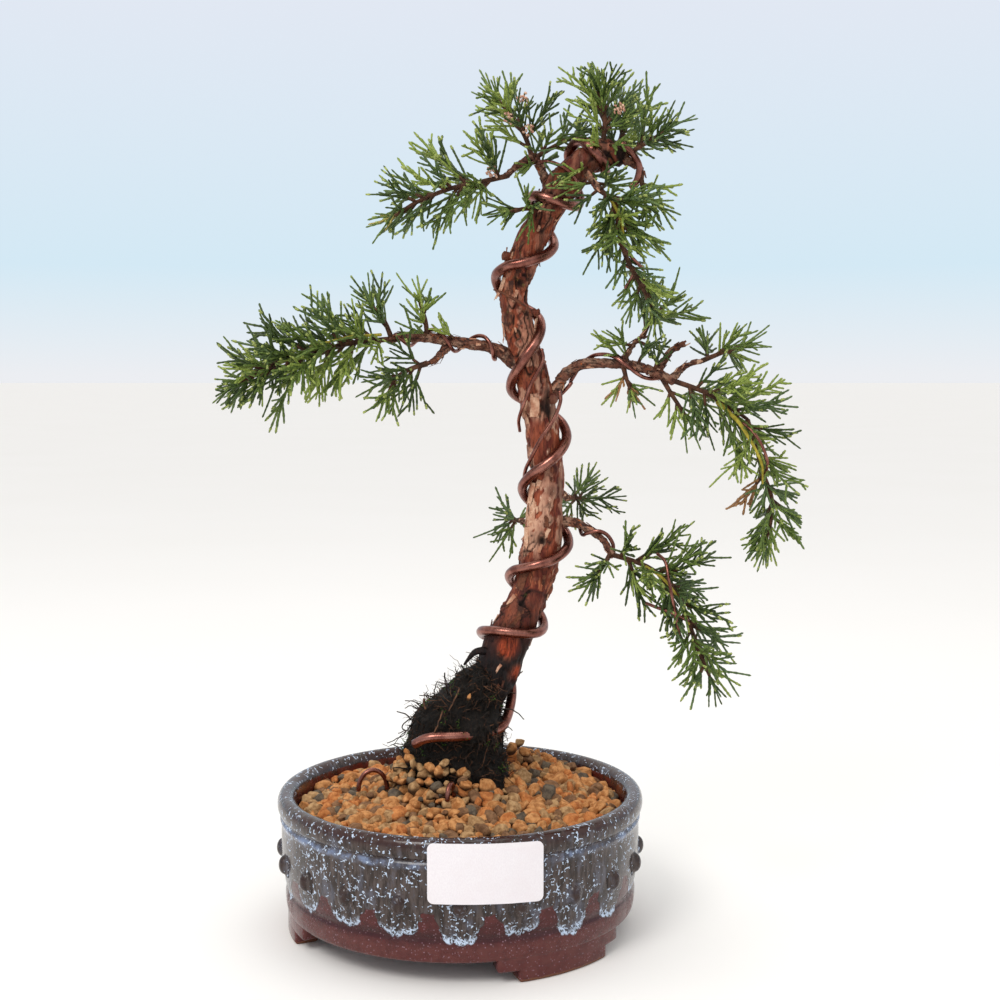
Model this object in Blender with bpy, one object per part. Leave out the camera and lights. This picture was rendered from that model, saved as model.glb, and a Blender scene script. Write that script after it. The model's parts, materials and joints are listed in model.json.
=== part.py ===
"""Juniper bonsai, trained with wire, in a round glazed pot.

Lengths are in millimetres, measured from the pot's axis at table height: +X to the right,
+Y to the back, +Z up. An empty under the whole plant puts the origin at the middle of its
footprint.

The tree is a trunk, the bare boughs and the masses of foliage that they carry. A mass is one
stem that flat fronds leave by a seeded rule: a frond is a twig with cord-like shoots to both
sides. A frond or a shoot that would come near to another piece is left out.
"""

import math
import random

import bmesh
import bpy
import numpy as np
from mathutils import Matrix, Quaternion, Vector, noise

MM = 0.001
CLEAR = 0.35  # gap between pieces that touch
GOLDEN_ANGLE = math.radians(137.5)
UP = Vector((0, 0, 1))

# Pot: a round tray with a rolled rim, a ring of studs and three stepped feet.
POT_HEIGHT = 52.0
POT_STEPS = 36
RIM_RADIUS = 68.8
DRAIN_RADIUS = 7.0
FLOOR_UNDER = 9.2
FLOOR_TOP = 13.0
POT_OUTSIDE = (  # radius, height: from the inner lip over the rim and down
    (62.4, 50.2),
    (63.8, 51.8),
    (66.0, POT_HEIGHT),
    (68.1, 50.6),
    (RIM_RADIUS, 47.6),
    (68.3, 44.6),
    (67.3, 42.0),
    (67.5, 38.0),
    (67.2, 28.5),
    (66.6, 21.5),
    (65.8, 17.2),
    (66.1, 14.5),
    (65.4, 8.1),
)
POT_INSIDE = (  # radius, height: from the underside up to the inner lip
    (60.6, 8.1),
    (59.6, FLOOR_UNDER),
    (DRAIN_RADIUS, FLOOR_UNDER),
    (DRAIN_RADIUS, FLOOR_TOP),
    (53.0, FLOOR_TOP),
    (59.4, 18.5),
    (61.3, 45.0),
)
STUDS = 20
STUD_TURN = math.radians(1.2)  # of the first stud, from the front towards the right
STUD_HEIGHT = 28.5
STUD_SIZE = (2.6, 2.6, 3.6)  # out of the wall, along it, up it
FEET = 3
FOOT_TURN = math.radians(37)  # of the first foot, from the front towards the right
FOOT_DEPTH = 9.0
FOOT_TIERS = ((math.radians(17.5), 0.0, 5.4), (math.radians(24.5), 4.0, 10.0))

LABEL_SIZE = (39.6, 20.7, 0.5)
LABEL_TURN = math.radians(8.6)
LABEL_HEIGHT = 40.8
LABEL_CURVE = 92.0

# Soil: a bed of grains, heaped up round the root mass.
GROUND = 52.0
SOIL_EDGE = 47.0
SOIL_HEAP = (9.5, 29.0)  # rise, spread
SOIL_MOUND = ((25.0, 30.0), 9.0, 12.0)  # place, rise, spread
GRAIN_RELIEF = 0.9
STONE_RELIEF = 1.5  # how far the main stones stand out, and the gaps between them go in

# Root mass: fibrous roots and moss round the foot of the trunk.
ROOT_RINGS = (  # height, middle x, middle y, half width, half depth
    (GROUND + CLEAR, -1.0, 2.0, 19.5, 17.0),
    (60.0, -1.4, 2.0, 19.2, 16.0),
    (69.0, -1.4, 2.0, 17.8, 14.5),
    (78.0, -0.6, 2.0, 16.8, 12.8),
    (88.0, 5.2, 2.5, 11.8, 12.2),
    (97.0, 11.0, 3.0, 10.4, 11.8),
    (108.0, 17.0, 3.0, 11.0, 11.5),
)
ROOT_SIDES = 20
ROOT_ROUGHNESS = 0.7
ROOT_TOP = ((12.0, 2.0, 89.0), (0.8, 0.0, 0.6))  # a point on the sloping top, and its normal

TRUNK = (  # x, y, z, radius, from the flat cut to the tip
    (6.4, 2.0, GROUND + CLEAR, 10.4),
    (6.6, 2.0, 66.0, 7.8),
    (8.4, 2.0, 82.0, 6.6),
    (13.5, 3.0, 95.0, 7.9),
    (19.3, 3.5, 110.0, 8.0),
    (26.5, 4.5, 125.5, 6.6),
    (30.5, 5.0, 141.0, 7.4),
    (32.3, 6.0, 160.0, 6.5),
    (31.9, 6.0, 179.0, 6.1),
    (28.4, 4.0, 200.5, 6.2),
    (22.8, 2.0, 222.0, 5.5),
    (20.2, 0.0, 238.0, 5.0),
    (25.3, -2.0, 253.5, 5.7),
    (33.6, -4.0, 268.7, 5.2),
    (39.0, -5.0, 277.0, 6.1),
    (46.0, -6.5, 284.0, 5.2),
    (53.0, -8.0, 286.8, 4.3),
    (59.0, -9.0, 285.0, 3.4),
)
STUBS = (  # broken side branches: foot on the trunk's axis, way out, length, radius
    ((14.5, 3.0, 100.0), (-1.0, -0.5, 0.25), 15.0, 2.0),
    ((24.0, -1.0, 249.0), (-1.0, -0.4, 0.2), 8.5, 1.9),
    ((21.6, 1.2, 229.5), (1.0, -0.3, 0.1), 8.2, 1.2),
    ((29.0, 4.2, 197.0), (0.9, -0.5, 0.2), 7.6, 2.2),
)

BOUGHS = {  # each bough's route with the radius at each point
    "bough_left": (
        (25.6, 3, 210.2, 2.7),
        (19.1, 3, 212.6, 2.5),
        (15.0, 2, 215.9, 2.3),
        (7.6, 0, 218.0, 2.1),
        (-1.6, -3, 219.1, 2.0),
        (-10.7, -5, 220.5, 1.9),
        (-19.7, -8, 220.8, 1.7),
        (-25.1, -9, 220.0, 1.5),
    ),
    "bough_left_fork": ((-3.4, -3.5, 219.2, 1.3), (-8.0, -6.5, 213.0, 1.2), (-11.7, -8, 211.0, 1.0)),
    "bough_right": (
        (28.6, 4, 194.5, 2.9),
        (35.4, 5, 201.2, 2.5),
        (38.5, 5, 206.2, 2.2),
        (42.6, 4, 209.6, 2.0),
        (47.4, 3, 211.4, 1.9),
        (60.5, 0, 211.0, 1.9),
        (67.8, -2, 209.6, 1.8),
        (73.9, -4, 207.0, 1.8),
        (78.9, -5, 204.8, 1.6),
    ),
    "bough_right_upper": ((59.6, 0.2, 211.0, 1.1), (64.5, 3, 218.1, 1.0), (68.3, 4, 221.5, 0.9)),
    "bough_right_top": ((77.5, -4.6, 205.3, 1.2), (83.8, -1, 210.3, 1.0), (89.9, 1, 212.2, 0.9)),
    "bough_right_snag": ((72.5, -3.5, 207.6, 1.3), (77.8, -1, 215.4, 1.1), (82.8, -1, 218.6, 1.3)),
    "bough_lower": (
        (31.6, 5, 150.4, 2.4),
        (39.2, 6, 151.6, 2.1),
        (44.0, 4, 151.5, 1.7),
        (47.9, 1, 149.5, 1.5),
        (51.9, -2, 147.2, 1.4),
        (54.7, -5, 143.8, 1.3),
        (56.7, -8, 140.8, 1.2),
    ),
    "bough_back": ((33.4, 9, 164.0, 2.0), (37.6, 27, 161.5, 1.6), (42.2, 40, 158.0, 1.2)),
    "bough_back_left": ((31.0, 9, 145.5, 1.6), (27.4, 26, 149.0, 1.3), (23.3, 36, 149.1, 1.0)),
    "bough_top": ((34.5, -4.2, 270.6, 1.9), (29.6, -4, 282.8, 1.6), (26.6, -3, 286.4, 1.4)),
    "bough_top_outer": ((26.8, -3.2, 286.0, 1.2), (21.0, -5, 282.4, 1.2), (17.5, -7, 278.8, 1.1)),
    "bough_droop": ((44.5, -6.3, 282.6, 1.4), (48.4, -15.5, 275.5, 1.3), (50.5, -18, 272.3, 1.1)),
    "bough_droop_side": ((58.5, -9.0, 285.1, 1.3), (65.0, -11.5, 281.0, 1.1), (65.6, -12, 277.4, 1.0)),
}

# Thick wire: it leaves the root mass, passes up behind the trunk and winds on to the tip.
WIRE_RADIUS = 1.9
WIRE_FOOT = (  # from its cut end at the front of the root mass to the back of the trunk
    (-16.5, -13.0, 71.0),
    (-11.0, -15.6, 74.0),
    (0.0, -15.8, 74.6),
    (9.0, -13.4, 75.0),
    (15.4, -8.4, 76.5),
    (18.4, -1.0, 81.0),
    (19.4, 8.0, 88.0),
    (16.6, 14.5, 95.0),
)
WIRE_START = (-0.25, 51.5)  # turn and distance along the trunk where the winding begins
WIRE_TURNS = (  # distance along the trunk at the left side, the front and the right side
    (56.0, 61.0, 66.8),
    (80.7, 88.6, 97.3),
    (116.6, 126.5, 136.2),
    (156.6, 168.1, 178.2),
    (195.5, 202.4, 212.5),
    (224.3, 227.6, 230.9),
    (246.2, 251.0, 255.5),
)
# Thin wires: the limb each winds round, its turns (below zero the other way), its share of the limb
# from start to end, and its first angle in degrees.
THIN_WIRE_RADIUS = 0.75
THIN_WIRES = {
    "wire_left": ("bough_left", -2.5, 0.06, 0.97, -60),
    "wire_right": ("bough_right", -1.25, 0.05, 0.97, -180),
    "wire_lower": ("bough_lower", 1.15, 0.14, 0.96, 270),
}
TIE_WIRE_RADIUS = 0.9
TIE_WIRES = {  # loops of tie wire that stand out of the soil
    "wire_tie_left": ((-33.0, -3.0), 11.0, 7.5, math.radians(15)),
    "wire_tie_front": ((-3.0, -22.0), 6.5, 5.5, math.radians(70)),
}

# Foliage. Each mass: its stem's route, the reach of its twigs at the foot, the middle and the
# tip of the stem, how far they lift (+) or hang (-), and the gap between them.
STEM_RADII = (1.15, 0.75)
FROND_ANGLE = math.radians(62)  # between the stem and its fronds, less towards the tip
FROND_CORE = (1.0, 0.7)  # half width and half thickness along the middle of a frond
FROND_SHARES = (1.0, 0.8, 0.6, 0.42)  # of its reach, the longest that has room
FROND_ROOT = 1.6  # how far a frond's foot is sunk past the axis of the stem
SHOOT_ANGLE = math.radians(38)
SHOOT_LENGTH = 13.0
SHOOT_WIDTH = 1.2  # at its blunt tip
SHOOT_GAP = 8.0  # between one pair of shoots and the next
MASSES = {
    "foliage_left_outer": (
        ((-25.1, -9, 220), (-39, -13, 218.4), (-52.5, -17, 215), (-66, -21, 210.5), (-75, -23, 205.5)),
        (18, 25, 12), 0.0, 3.9,
    ),
    "foliage_left_top": (((-24.4, -9, 220), (-27, -10, 226.5), (-31, -10, 231.5)), (12, 12, 7), 0.3, 4.2),
    "foliage_left_inner": (((-11.6, -5.5, 220.6), (-12.3, -7, 227), (-13.8, -8, 232)), (7, 8, 6), 0.4, 5.5),
    "foliage_left_hanging": (
        ((-11.7, -8, 211), (-17.5, -10.5, 209.2), (-22.5, -12.5, 206.0), (-24.5, -14, 202.5)),
        (15, 16, 8), -0.3, 3.8,
    ),
    "foliage_top_low": (
        ((17.5, -7, 278.8), (7.8, -10, 276.2), (-3, -13, 273.5), (-14.3, -16, 268.6), (-20.5, -18, 264.6)),
        (20, 21, 9), 0.05, 4.0,
    ),
    "foliage_top_high": (
        ((26.6, -3, 286.4), (24.1, -3, 293.5), (20.1, -4, 299.5), (16.5, -5, 303.5)),
        (18, 20, 10), 0.15, 4.0,
    ),
    "foliage_top_inner": (((27.2, -2.6, 285.6), (34.5, 0, 290.2), (40.7, 2, 293.7)), (9, 11, 8), 0.3, 4.8),
    "foliage_trunk_sprig": (((31.8, -4, 267.4), (25, -8.5, 267), (20, -11, 266)), (7, 9, 6), 0.0, 5.0),
    "foliage_apex_top": (
        ((51.7, -7.8, 286.4), (52.6, -9, 295), (52.4, -9, 301.5), (50.8, -9, 306.5)),
        (18, 20, 10), 0.3, 3.6,
    ),
    "foliage_apex_right": (((59, -9, 285), (65, -11.6, 288.4), (71, -14, 291.9)), (16, 17, 10), 0.1, 3.6),
    "foliage_apex_back": (((56.0, -8.4, 286), (59.5, 6, 294), (62, 15, 299)), (14, 17, 10), 0.25, 4.2),
    "foliage_droop_upper": (
        ((50.5, -18, 272.3), (54.6, -22, 268.4), (56.6, -25, 261), (57.0, -26, 254.8)),
        (20, 20, 14), -0.05, 3.0,
    ),
    "foliage_droop_side": (((65.6, -12, 277.4), (66.2, -14, 273.0), (66.6, -15, 269.6)), (14, 13, 9), -0.1, 4.0),
    "foliage_droop_lower": (
        ((57, -26, 254.6), (60.6, -23.5, 246), (65.4, -20, 238.4), (68.2, -19, 233)),
        (9, 13, 9), -0.1, 4.4,
    ),
    "foliage_right_inner": (
        ((68.3, 4, 221.5), (70.4, 5, 226), (72.4, 6, 229.6), (75.0, 7, 231.6)),
        (20, 19, 8), 0.1, 3.8,
    ),
    "foliage_right_top": (((89.9, 1, 212.2), (96.5, 3, 214.8), (102, 4, 216.6)), (14, 14, 8), 0.15, 4.2),
    "foliage_right_main": (
        ((78.9, -5, 204.8), (89.2, -8, 201), (98, -10, 195.9), (105, -12, 190.9)),
        (19, 26, 17), 0.0, 3.6,
    ),
    "foliage_right_under": (((73.9, -4, 207), (78.2, -6, 199.5), (82, -6, 194)), (9, 11, 8), -0.3, 4.8),
    "foliage_right_near": (((60.5, 0, 211), (61.4, -2, 206.5), (62.5, -3, 203)), (7, 9, 6), -0.4, 5.0),
    "foliage_right_lower": (((104.9, -12, 190.7), (108, -13, 181), (109.8, -14, 173)), (17, 20, 13), -0.15, 3.9),
    "foliage_right_tip": (
        ((109.8, -14, 172.7), (113.6, -14, 163), (113.8, -14, 155), (112.6, -14, 149.5)),
        (13, 17, 9), -0.2, 4.0,
    ),
    "foliage_lower_main": (
        ((56.7, -8, 140.8), (63.4, -12, 139.2), (70.4, -15, 136.4), (76.2, -18, 131.6), (80, -20, 127)),
        (17, 27, 16), 0.1, 3.6,
    ),
    "foliage_lower_inner": (((56, -7.2, 141.6), (53.2, -11.5, 137.6), (51.5, -14.5, 135.5)), (10, 12, 8), -0.2, 4.4),
    "foliage_lower_tip": (
        ((80, -20, 126.8), (83.8, -22, 116), (87.2, -23, 107), (89.8, -24, 100.5)),
        (17, 19, 8), -0.05, 3.9,
    ),
    "foliage_back_right": (((42.2, 40, 158), (45.5, 47.5, 157.5), (48, 54, 156)), (16, 18, 9), 0.03, 4.0),
    "foliage_back_left": (((23.3, 36, 149.1), (20.9, 43, 148.8), (19.4, 48, 148.6)), (11, 14, 8), 0.0, 4.4),
}

COLOURS = {  # base colour, roughness, metallic
    "glaze": ((0.115, 0.085, 0.085), 0.25, 0.0),
    "paper": ((0.86, 0.84, 0.83), 0.6, 0.0),
    "soil": ((0.46, 0.20, 0.065), 0.9, 0.0),
    "roots": ((0.022, 0.018, 0.014), 0.95, 0.0),
    "bark": ((0.27, 0.095, 0.055), 0.75, 0.0),
    "wire": ((0.26, 0.095, 0.07), 0.35, 0.9),
    "foliage": ((0.085, 0.20, 0.045), 0.6, 0.0),
}


# Routes and tubes


def smooth_route(points, step):
    """Points (with any further values, such as a radius) along a smooth curve through these."""
    knots = np.array(points, float)
    knots = np.vstack([2 * knots[0] - knots[1], knots, 2 * knots[-1] - knots[-2]])
    route = []
    for a, b, c, d in zip(knots, knots[1:], knots[2:], knots[3:]):
        pieces = max(1, round(float(np.linalg.norm((c - b)[:3])) / step))
        for k in range(pieces):
            t = k / pieces
            bend = (2 * a - 5 * b + 4 * c - d) * t + (3 * b - a - 3 * c + d) * t * t
            route.append(b + 0.5 * t * ((c - a) + bend))
    route.append(knots[-2])
    return np.array(route)


def frames(route):
    """Unit vectors along and across a route, turning no more than the route does."""
    points = [Vector(p[:3]) for p in route]
    along = []
    for i in range(len(points)):
        ahead = points[min(i + 1, len(points) - 1)] - points[max(i - 1, 0)]
        along.append(ahead.normalized())
    side = along[0].cross(Vector((0, 1, 0)))
    if side.length < 0.1:
        side = along[0].cross(Vector((1, 0, 0)))
    side.normalize()
    sides = [side]
    for before, after in zip(along, along[1:]):
        sides.append(before.rotation_difference(after) @ sides[-1])
    return along, sides, [a.cross(s) for a, s in zip(along, sides)]


def tube_mesh(name, route, sides, fluting=0.0):
    """A closed tube round a route of x, y, z, radius, with flat ends."""
    _, across, upward = frames(route)
    shape = bmesh.new()
    rings = []
    for i, (x, y, z, radius) in enumerate(route):
        ring = []
        for k in range(sides):
            angle = math.tau * k / sides
            out = radius * (1 + fluting * math.sin(3 * angle + 0.35 * i))
            way = across[i] * math.cos(angle) + upward[i] * math.sin(angle)
            ring.append(shape.verts.new((Vector((x, y, z)) + way * out) * MM))
        rings.append(ring)
    for lower, upper in zip(rings, rings[1:]):
        for k in range(sides):
            shape.faces.new((lower[k], lower[k - 1], upper[k - 1], upper[k]))
    shape.faces.new(rings[0])
    shape.faces.new(rings[-1][::-1])
    return mesh_of(name, shape)


def mesh_of(name, shape):
    bmesh.ops.recalc_face_normals(shape, faces=shape.faces)
    mesh = bpy.data.meshes.new(name)
    shape.to_mesh(mesh)
    shape.free()
    if mesh.polygons and volume_of(mesh) < 0:
        mesh.flip_normals()
    return mesh


def volume_of(mesh):
    shape = bmesh.new()
    shape.from_mesh(mesh)
    volume = shape.calc_volume(signed=True)
    shape.free()
    return volume


# Objects


def material(name):
    made = bpy.data.materials.get(name)
    if made is None:
        colour, roughness, metallic = COLOURS[name]
        made = bpy.data.materials.new(name)
        made.use_nodes = True
        surface = made.node_tree.nodes["Principled BSDF"]
        surface.inputs["Base Color"].default_value = (*colour, 1)
        surface.inputs["Roughness"].default_value = roughness
        surface.inputs["Metallic"].default_value = metallic
    return made


def add_object(name, mesh, finish=None):
    made = bpy.data.objects.new(name, mesh)
    bpy.context.scene.collection.objects.link(made)
    if finish:
        mesh.materials.clear()
        mesh.materials.append(material(finish))
        mesh.shade_smooth()
        mesh.set_sharp_from_angle(angle=math.radians(40))
    return made


def boolean(target, others, operation, solver="EXACT"):
    """Joins the others to the target, or cuts them from it, and removes them."""
    group = bpy.data.collections.new("tools")
    bpy.context.scene.collection.children.link(group)
    for other in others:
        bpy.context.scene.collection.objects.unlink(other)
        group.objects.link(other)
    step = target.modifiers.new(operation.lower(), "BOOLEAN")
    step.operation = operation
    step.operand_type = "COLLECTION"
    step.collection = group
    step.solver = solver
    bpy.context.view_layer.update()
    graph = bpy.context.evaluated_depsgraph_get()
    joined = bpy.data.meshes.new_from_object(target.evaluated_get(graph))
    target.modifiers.clear()
    old = target.data
    target.data = joined
    joined.name = target.name
    bpy.data.meshes.remove(old)
    for other in others:
        mesh = other.data
        bpy.data.objects.remove(other)
        bpy.data.meshes.remove(mesh)
    bpy.data.collections.remove(group)


def keep_one_body(target):
    """Keeps the largest closed shell: sealed hollows are filled and loose scraps dropped."""
    shape = bmesh.new()
    shape.from_mesh(target.data)
    bmesh.ops.triangulate(shape, faces=shape.faces)
    left = set(shape.verts)
    shells = []
    while left:
        shell = set()
        edge = [left.pop()]
        while edge:
            vert = edge.pop()
            shell.add(vert)
            for link in vert.link_edges:
                near = link.other_vert(vert)
                if near in left:
                    left.remove(near)
                    edge.append(near)
        shells.append(shell)
    biggest = max(shells, key=len)
    loose = [v for shell in shells if shell is not biggest for v in shell]
    bmesh.ops.delete(shape, geom=loose, context="VERTS")
    shape.to_mesh(target.data)
    shape.free()


# Pot, label and soil


def make_pot():
    profile = bmesh.new()
    outline = [profile.verts.new((r * MM, 0, z * MM)) for r, z in POT_OUTSIDE + POT_INSIDE]
    for first, second in zip(outline, outline[1:] + outline[:1]):
        profile.edges.new((first, second))
    bmesh.ops.spin(
        profile,
        geom=profile.verts[:] + profile.edges[:],
        axis=(0, 0, 1),
        cent=(0, 0, 0),
        steps=POT_STEPS,
        angle=math.tau,
        use_merge=True,
    )
    bmesh.ops.remove_doubles(profile, verts=profile.verts, dist=0.000001)
    pot = add_object("pot", mesh_of("pot", profile))
    parts = []
    wall = next(r for r, z in POT_OUTSIDE if z <= STUD_HEIGHT)
    for k in range(STUDS):
        parts.append(make_stud(STUD_TURN + math.tau * k / STUDS, wall))
    for k in range(FEET):
        turn = FOOT_TURN + math.tau * k / FEET
        for tier in FOOT_TIERS:
            parts.append(make_foot_tier(turn, *tier))
    boolean(pot, parts, "UNION")
    keep_one_body(pot)
    return add_finish(pot, "glaze")


def add_finish(made, finish):
    made.data.materials.clear()
    made.data.materials.append(material(finish))
    made.data.shade_smooth()
    made.data.set_sharp_from_angle(angle=math.radians(40))
    return made


def front_turn(turn, radius):
    """The place at this radius, turned from the front towards the right."""
    return Vector((radius * math.sin(turn), -radius * math.cos(turn), 0))


def make_stud(turn, wall):
    shape = bmesh.new()
    place = Matrix.Translation((front_turn(turn, wall) + UP * STUD_HEIGHT) * MM)
    size = Matrix.Diagonal((*(Vector(STUD_SIZE) * MM), 1))
    facing = Matrix.Rotation(turn - math.pi / 2, 4, "Z")
    bmesh.ops.create_uvsphere(shape, u_segments=6, v_segments=3, radius=1, matrix=place @ facing @ size)
    return add_object("stud", mesh_of("stud", shape))


def make_foot_tier(turn, half_width, bottom, top):
    outer = POT_OUTSIDE[-1][0] - 0.15
    steps = 6
    shape = bmesh.new()
    ring = []
    for radius, order in ((outer, 1), (outer - FOOT_DEPTH, -1)):
        for k in range(steps + 1)[::order]:
            place = front_turn(turn + half_width * (2 * k / steps - 1), radius)
            ring.append(shape.verts.new((place + UP * bottom) * MM))
    face = shape.faces.new(ring)
    grown = bmesh.ops.extrude_face_region(shape, geom=[face])
    raised = [v for v in grown["geom"] if isinstance(v, bmesh.types.BMVert)]
    bmesh.ops.translate(shape, verts=raised, vec=UP * (top - bottom) * MM)
    corners = [e for e in shape.edges if abs(e.verts[0].co.z - e.verts[1].co.z) > 0.001]
    ends = [e for e in corners if e.calc_face_angle() > math.radians(60)]
    bmesh.ops.bevel(shape, geom=ends, offset=1.2 * MM, segments=1, affect="EDGES")
    return add_object("foot", mesh_of("foot", shape))


def make_label():
    """A plain paper sticker, bent a little less than the pot that it is stuck to."""
    width, height, thick = LABEL_SIZE
    steps = 8
    shape = bmesh.new()
    across = [width * (k / steps - 0.5) for k in range(steps + 1)]
    rows = []
    for bottom in (True, False):
        for inner in (True, False):
            row = []
            for x in across:
                angle = x / LABEL_CURVE
                radius = LABEL_CURVE + (0 if inner else thick)
                place = front_turn(angle, radius) + Vector((0, LABEL_CURVE, 0))
                row.append(shape.verts.new((place + UP * height * (-0.5 if bottom else 0.5)) * MM))
            rows.append(row)
    low_in, low_out, high_in, high_out = rows
    for first, second in ((low_in, low_out), (low_out, high_out), (high_out, high_in), (high_in, low_in)):
        for k in range(steps):
            shape.faces.new((first[k], first[k + 1], second[k + 1], second[k]))
    for k in (0, steps):
        shape.faces.new((low_in[k], low_out[k], high_out[k], high_in[k]))
    label = add_object("label", mesh_of("label", shape), "paper")
    out = front_turn(LABEL_TURN, RIM_RADIUS + 0.6 + CLEAR)
    label.location = (out + UP * LABEL_HEIGHT) * MM
    label.rotation_euler = (0, 0, LABEL_TURN)
    return label


def soil_height(x, y):
    rise, spread = SOIL_HEAP
    middle, mound, width = SOIL_MOUND
    heap = rise * math.exp(-((x / spread) ** 2) - ((y - 2) / spread) ** 2)
    bank = mound * math.exp(-(math.dist((x, y), middle) ** 2) / (2 * width**2))
    grains = GRAIN_RELIEF * noise.noise(Vector((x, y, 0)) / 4.5)
    return SOIL_EDGE + heap + bank + grains


def stone_rise(x, y, j, k):
    """The main stones: every second point of the grid stands out, except under the tie wires."""
    size = STONE_RELIEF * (0.9 + 0.5 * noise.noise(Vector((x, y, 7)) / 6))
    near = min(math.dist((x, y), place) - width / 2 for place, width, *_ in TIE_WIRES.values())
    calm = min(max((near - 6) / 5, 0), 1)
    return size * calm * (1 if (j + k) % 2 else -1)


def make_soil():
    rings = 8
    around = 44
    under = [(DRAIN_RADIUS + 30, FLOOR_TOP + CLEAR), (52.6, FLOOR_TOP + CLEAR), (58.9, 18.9)]
    shape = bmesh.new()
    edge = 60.7
    columns = []
    for k in range(around):
        turn = math.tau * k / around
        way = Vector((math.cos(turn), math.sin(turn), 0))
        column = [shape.verts.new((way * r + UP * z) * MM) for r, z in under]
        for j in range(rings):
            place = way * edge * (1 - j / rings)
            height = soil_height(place.x, place.y) + stone_rise(place.x, place.y, j, k) if j else SOIL_EDGE - 1.0
            column.append(shape.verts.new((place + UP * height) * MM))
        columns.append(column)
    for a, b in zip(columns, columns[1:] + columns[:1]):
        for low_a, low_b, high_b, high_a in zip(a, b, b[1:], a[1:]):
            shape.faces.new((low_a, low_b, high_b, high_a))
    shape.faces.new([column[0] for column in columns])
    top = shape.verts.new((UP * soil_height(0, 0)) * MM)
    for a, b in zip(columns, columns[1:] + columns[:1]):
        shape.faces.new((a[-1], b[-1], top))
    soil = add_object("soil", mesh_of("soil", shape))
    seat = add_object("seat", root_mesh(CLEAR + 0.25, GROUND))
    boolean(soil, [seat], "DIFFERENCE")
    keep_one_body(soil)
    return add_finish(soil, "soil")


def root_mesh(grow, foot):
    """The root mass's outer shape, grown outwards by this much, from this height up."""
    shape = bmesh.new()
    rings = []
    for j, (z, cx, cy, half_x, half_y) in enumerate(ROOT_RINGS):
        ring = []
        for k in range(ROOT_SIDES):
            turn = math.tau * k / ROOT_SIDES
            bump = ROOT_ROUGHNESS * math.sin(2.7 * k + 1.9 * j) * math.cos(1.3 * k * (j + 1))
            x = cx + (half_x + bump + grow) * math.cos(turn)
            y = cy + (half_y + bump + grow) * math.sin(turn)
            ring.append(shape.verts.new(Vector((x, y, z if j else foot)) * MM))
        rings.append(ring)
    for a, b in zip(rings, rings[1:]):
        for k in range(ROOT_SIDES):
            shape.faces.new((a[k - 1], a[k], b[k], b[k - 1]))
    shape.faces.new(rings[0])
    shape.faces.new(rings[-1])
    return mesh_of("root_mass", shape)


def make_root_mass(trunk_route):
    """Roots and moss, cut off by the sloping top and open down the middle for the trunk."""
    mesh = root_mesh(0, GROUND + CLEAR)
    shape = bmesh.new()
    shape.from_mesh(mesh)
    point, normal = ROOT_TOP
    everything = shape.verts[:] + shape.edges[:] + shape.faces[:]
    cut = bmesh.ops.bisect_plane(
        shape, geom=everything, plane_co=Vector(point) * MM, plane_no=normal, clear_outer=True
    )
    rim = [e for e in cut["geom_cut"] if isinstance(e, bmesh.types.BMEdge)]
    bmesh.ops.edgeloop_fill(shape, edges=rim)
    shape.to_mesh(mesh)
    shape.free()
    mass = add_object("root_mass", mesh)
    wider = trunk_route.copy()
    wider[:, 3] = wider[:, 3] * 1.08 + CLEAR
    wider = wider[wider[:, 2] < 118]
    wider[0, 2] -= 4
    bores = [add_object("bore", tube_mesh("bore", wider, 14))]
    wider = trunk_wire_route(trunk_route)[:16]
    wider[:, 3] += CLEAR + 0.1
    bores.append(add_object("groove", tube_mesh("groove", wider, 8)))
    bores.append(stub_object(*STUBS[0], CLEAR + 0.2))
    boolean(mass, bores, "DIFFERENCE")
    keep_one_body(mass)
    return add_finish(mass, "roots")


# Trunk, boughs and wires


def make_trunk(route):
    trunk = add_object("trunk", tube_mesh("trunk", route, 11, 0.03))
    boolean(trunk, [stub_object(*stub) for stub in STUBS], "UNION")
    keep_one_body(trunk)
    flatten_foot(trunk, GROUND + CLEAR)
    return add_finish(trunk, "bark")


def stub_object(foot, way, length, radius, grow=0.0):
    """A tapering stub, or the same shape grown outwards by this much."""
    start = Vector(foot)
    tip = start + Vector(way).normalized() * (length + grow)
    taper = (
        (*start, radius * 1.3 + grow),
        (*start.lerp(tip, 0.7), radius + grow),
        (*tip, radius * 0.6 + grow),
    )
    return add_object("stub", tube_mesh("stub", taper, 6))


def flatten_foot(made, level):
    """Brings the lowest ring of points to one level, for a flat cut."""
    for vert in made.data.vertices:
        if vert.co.z < (level + 1.0) * MM:
            vert.co.z = level * MM


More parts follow.
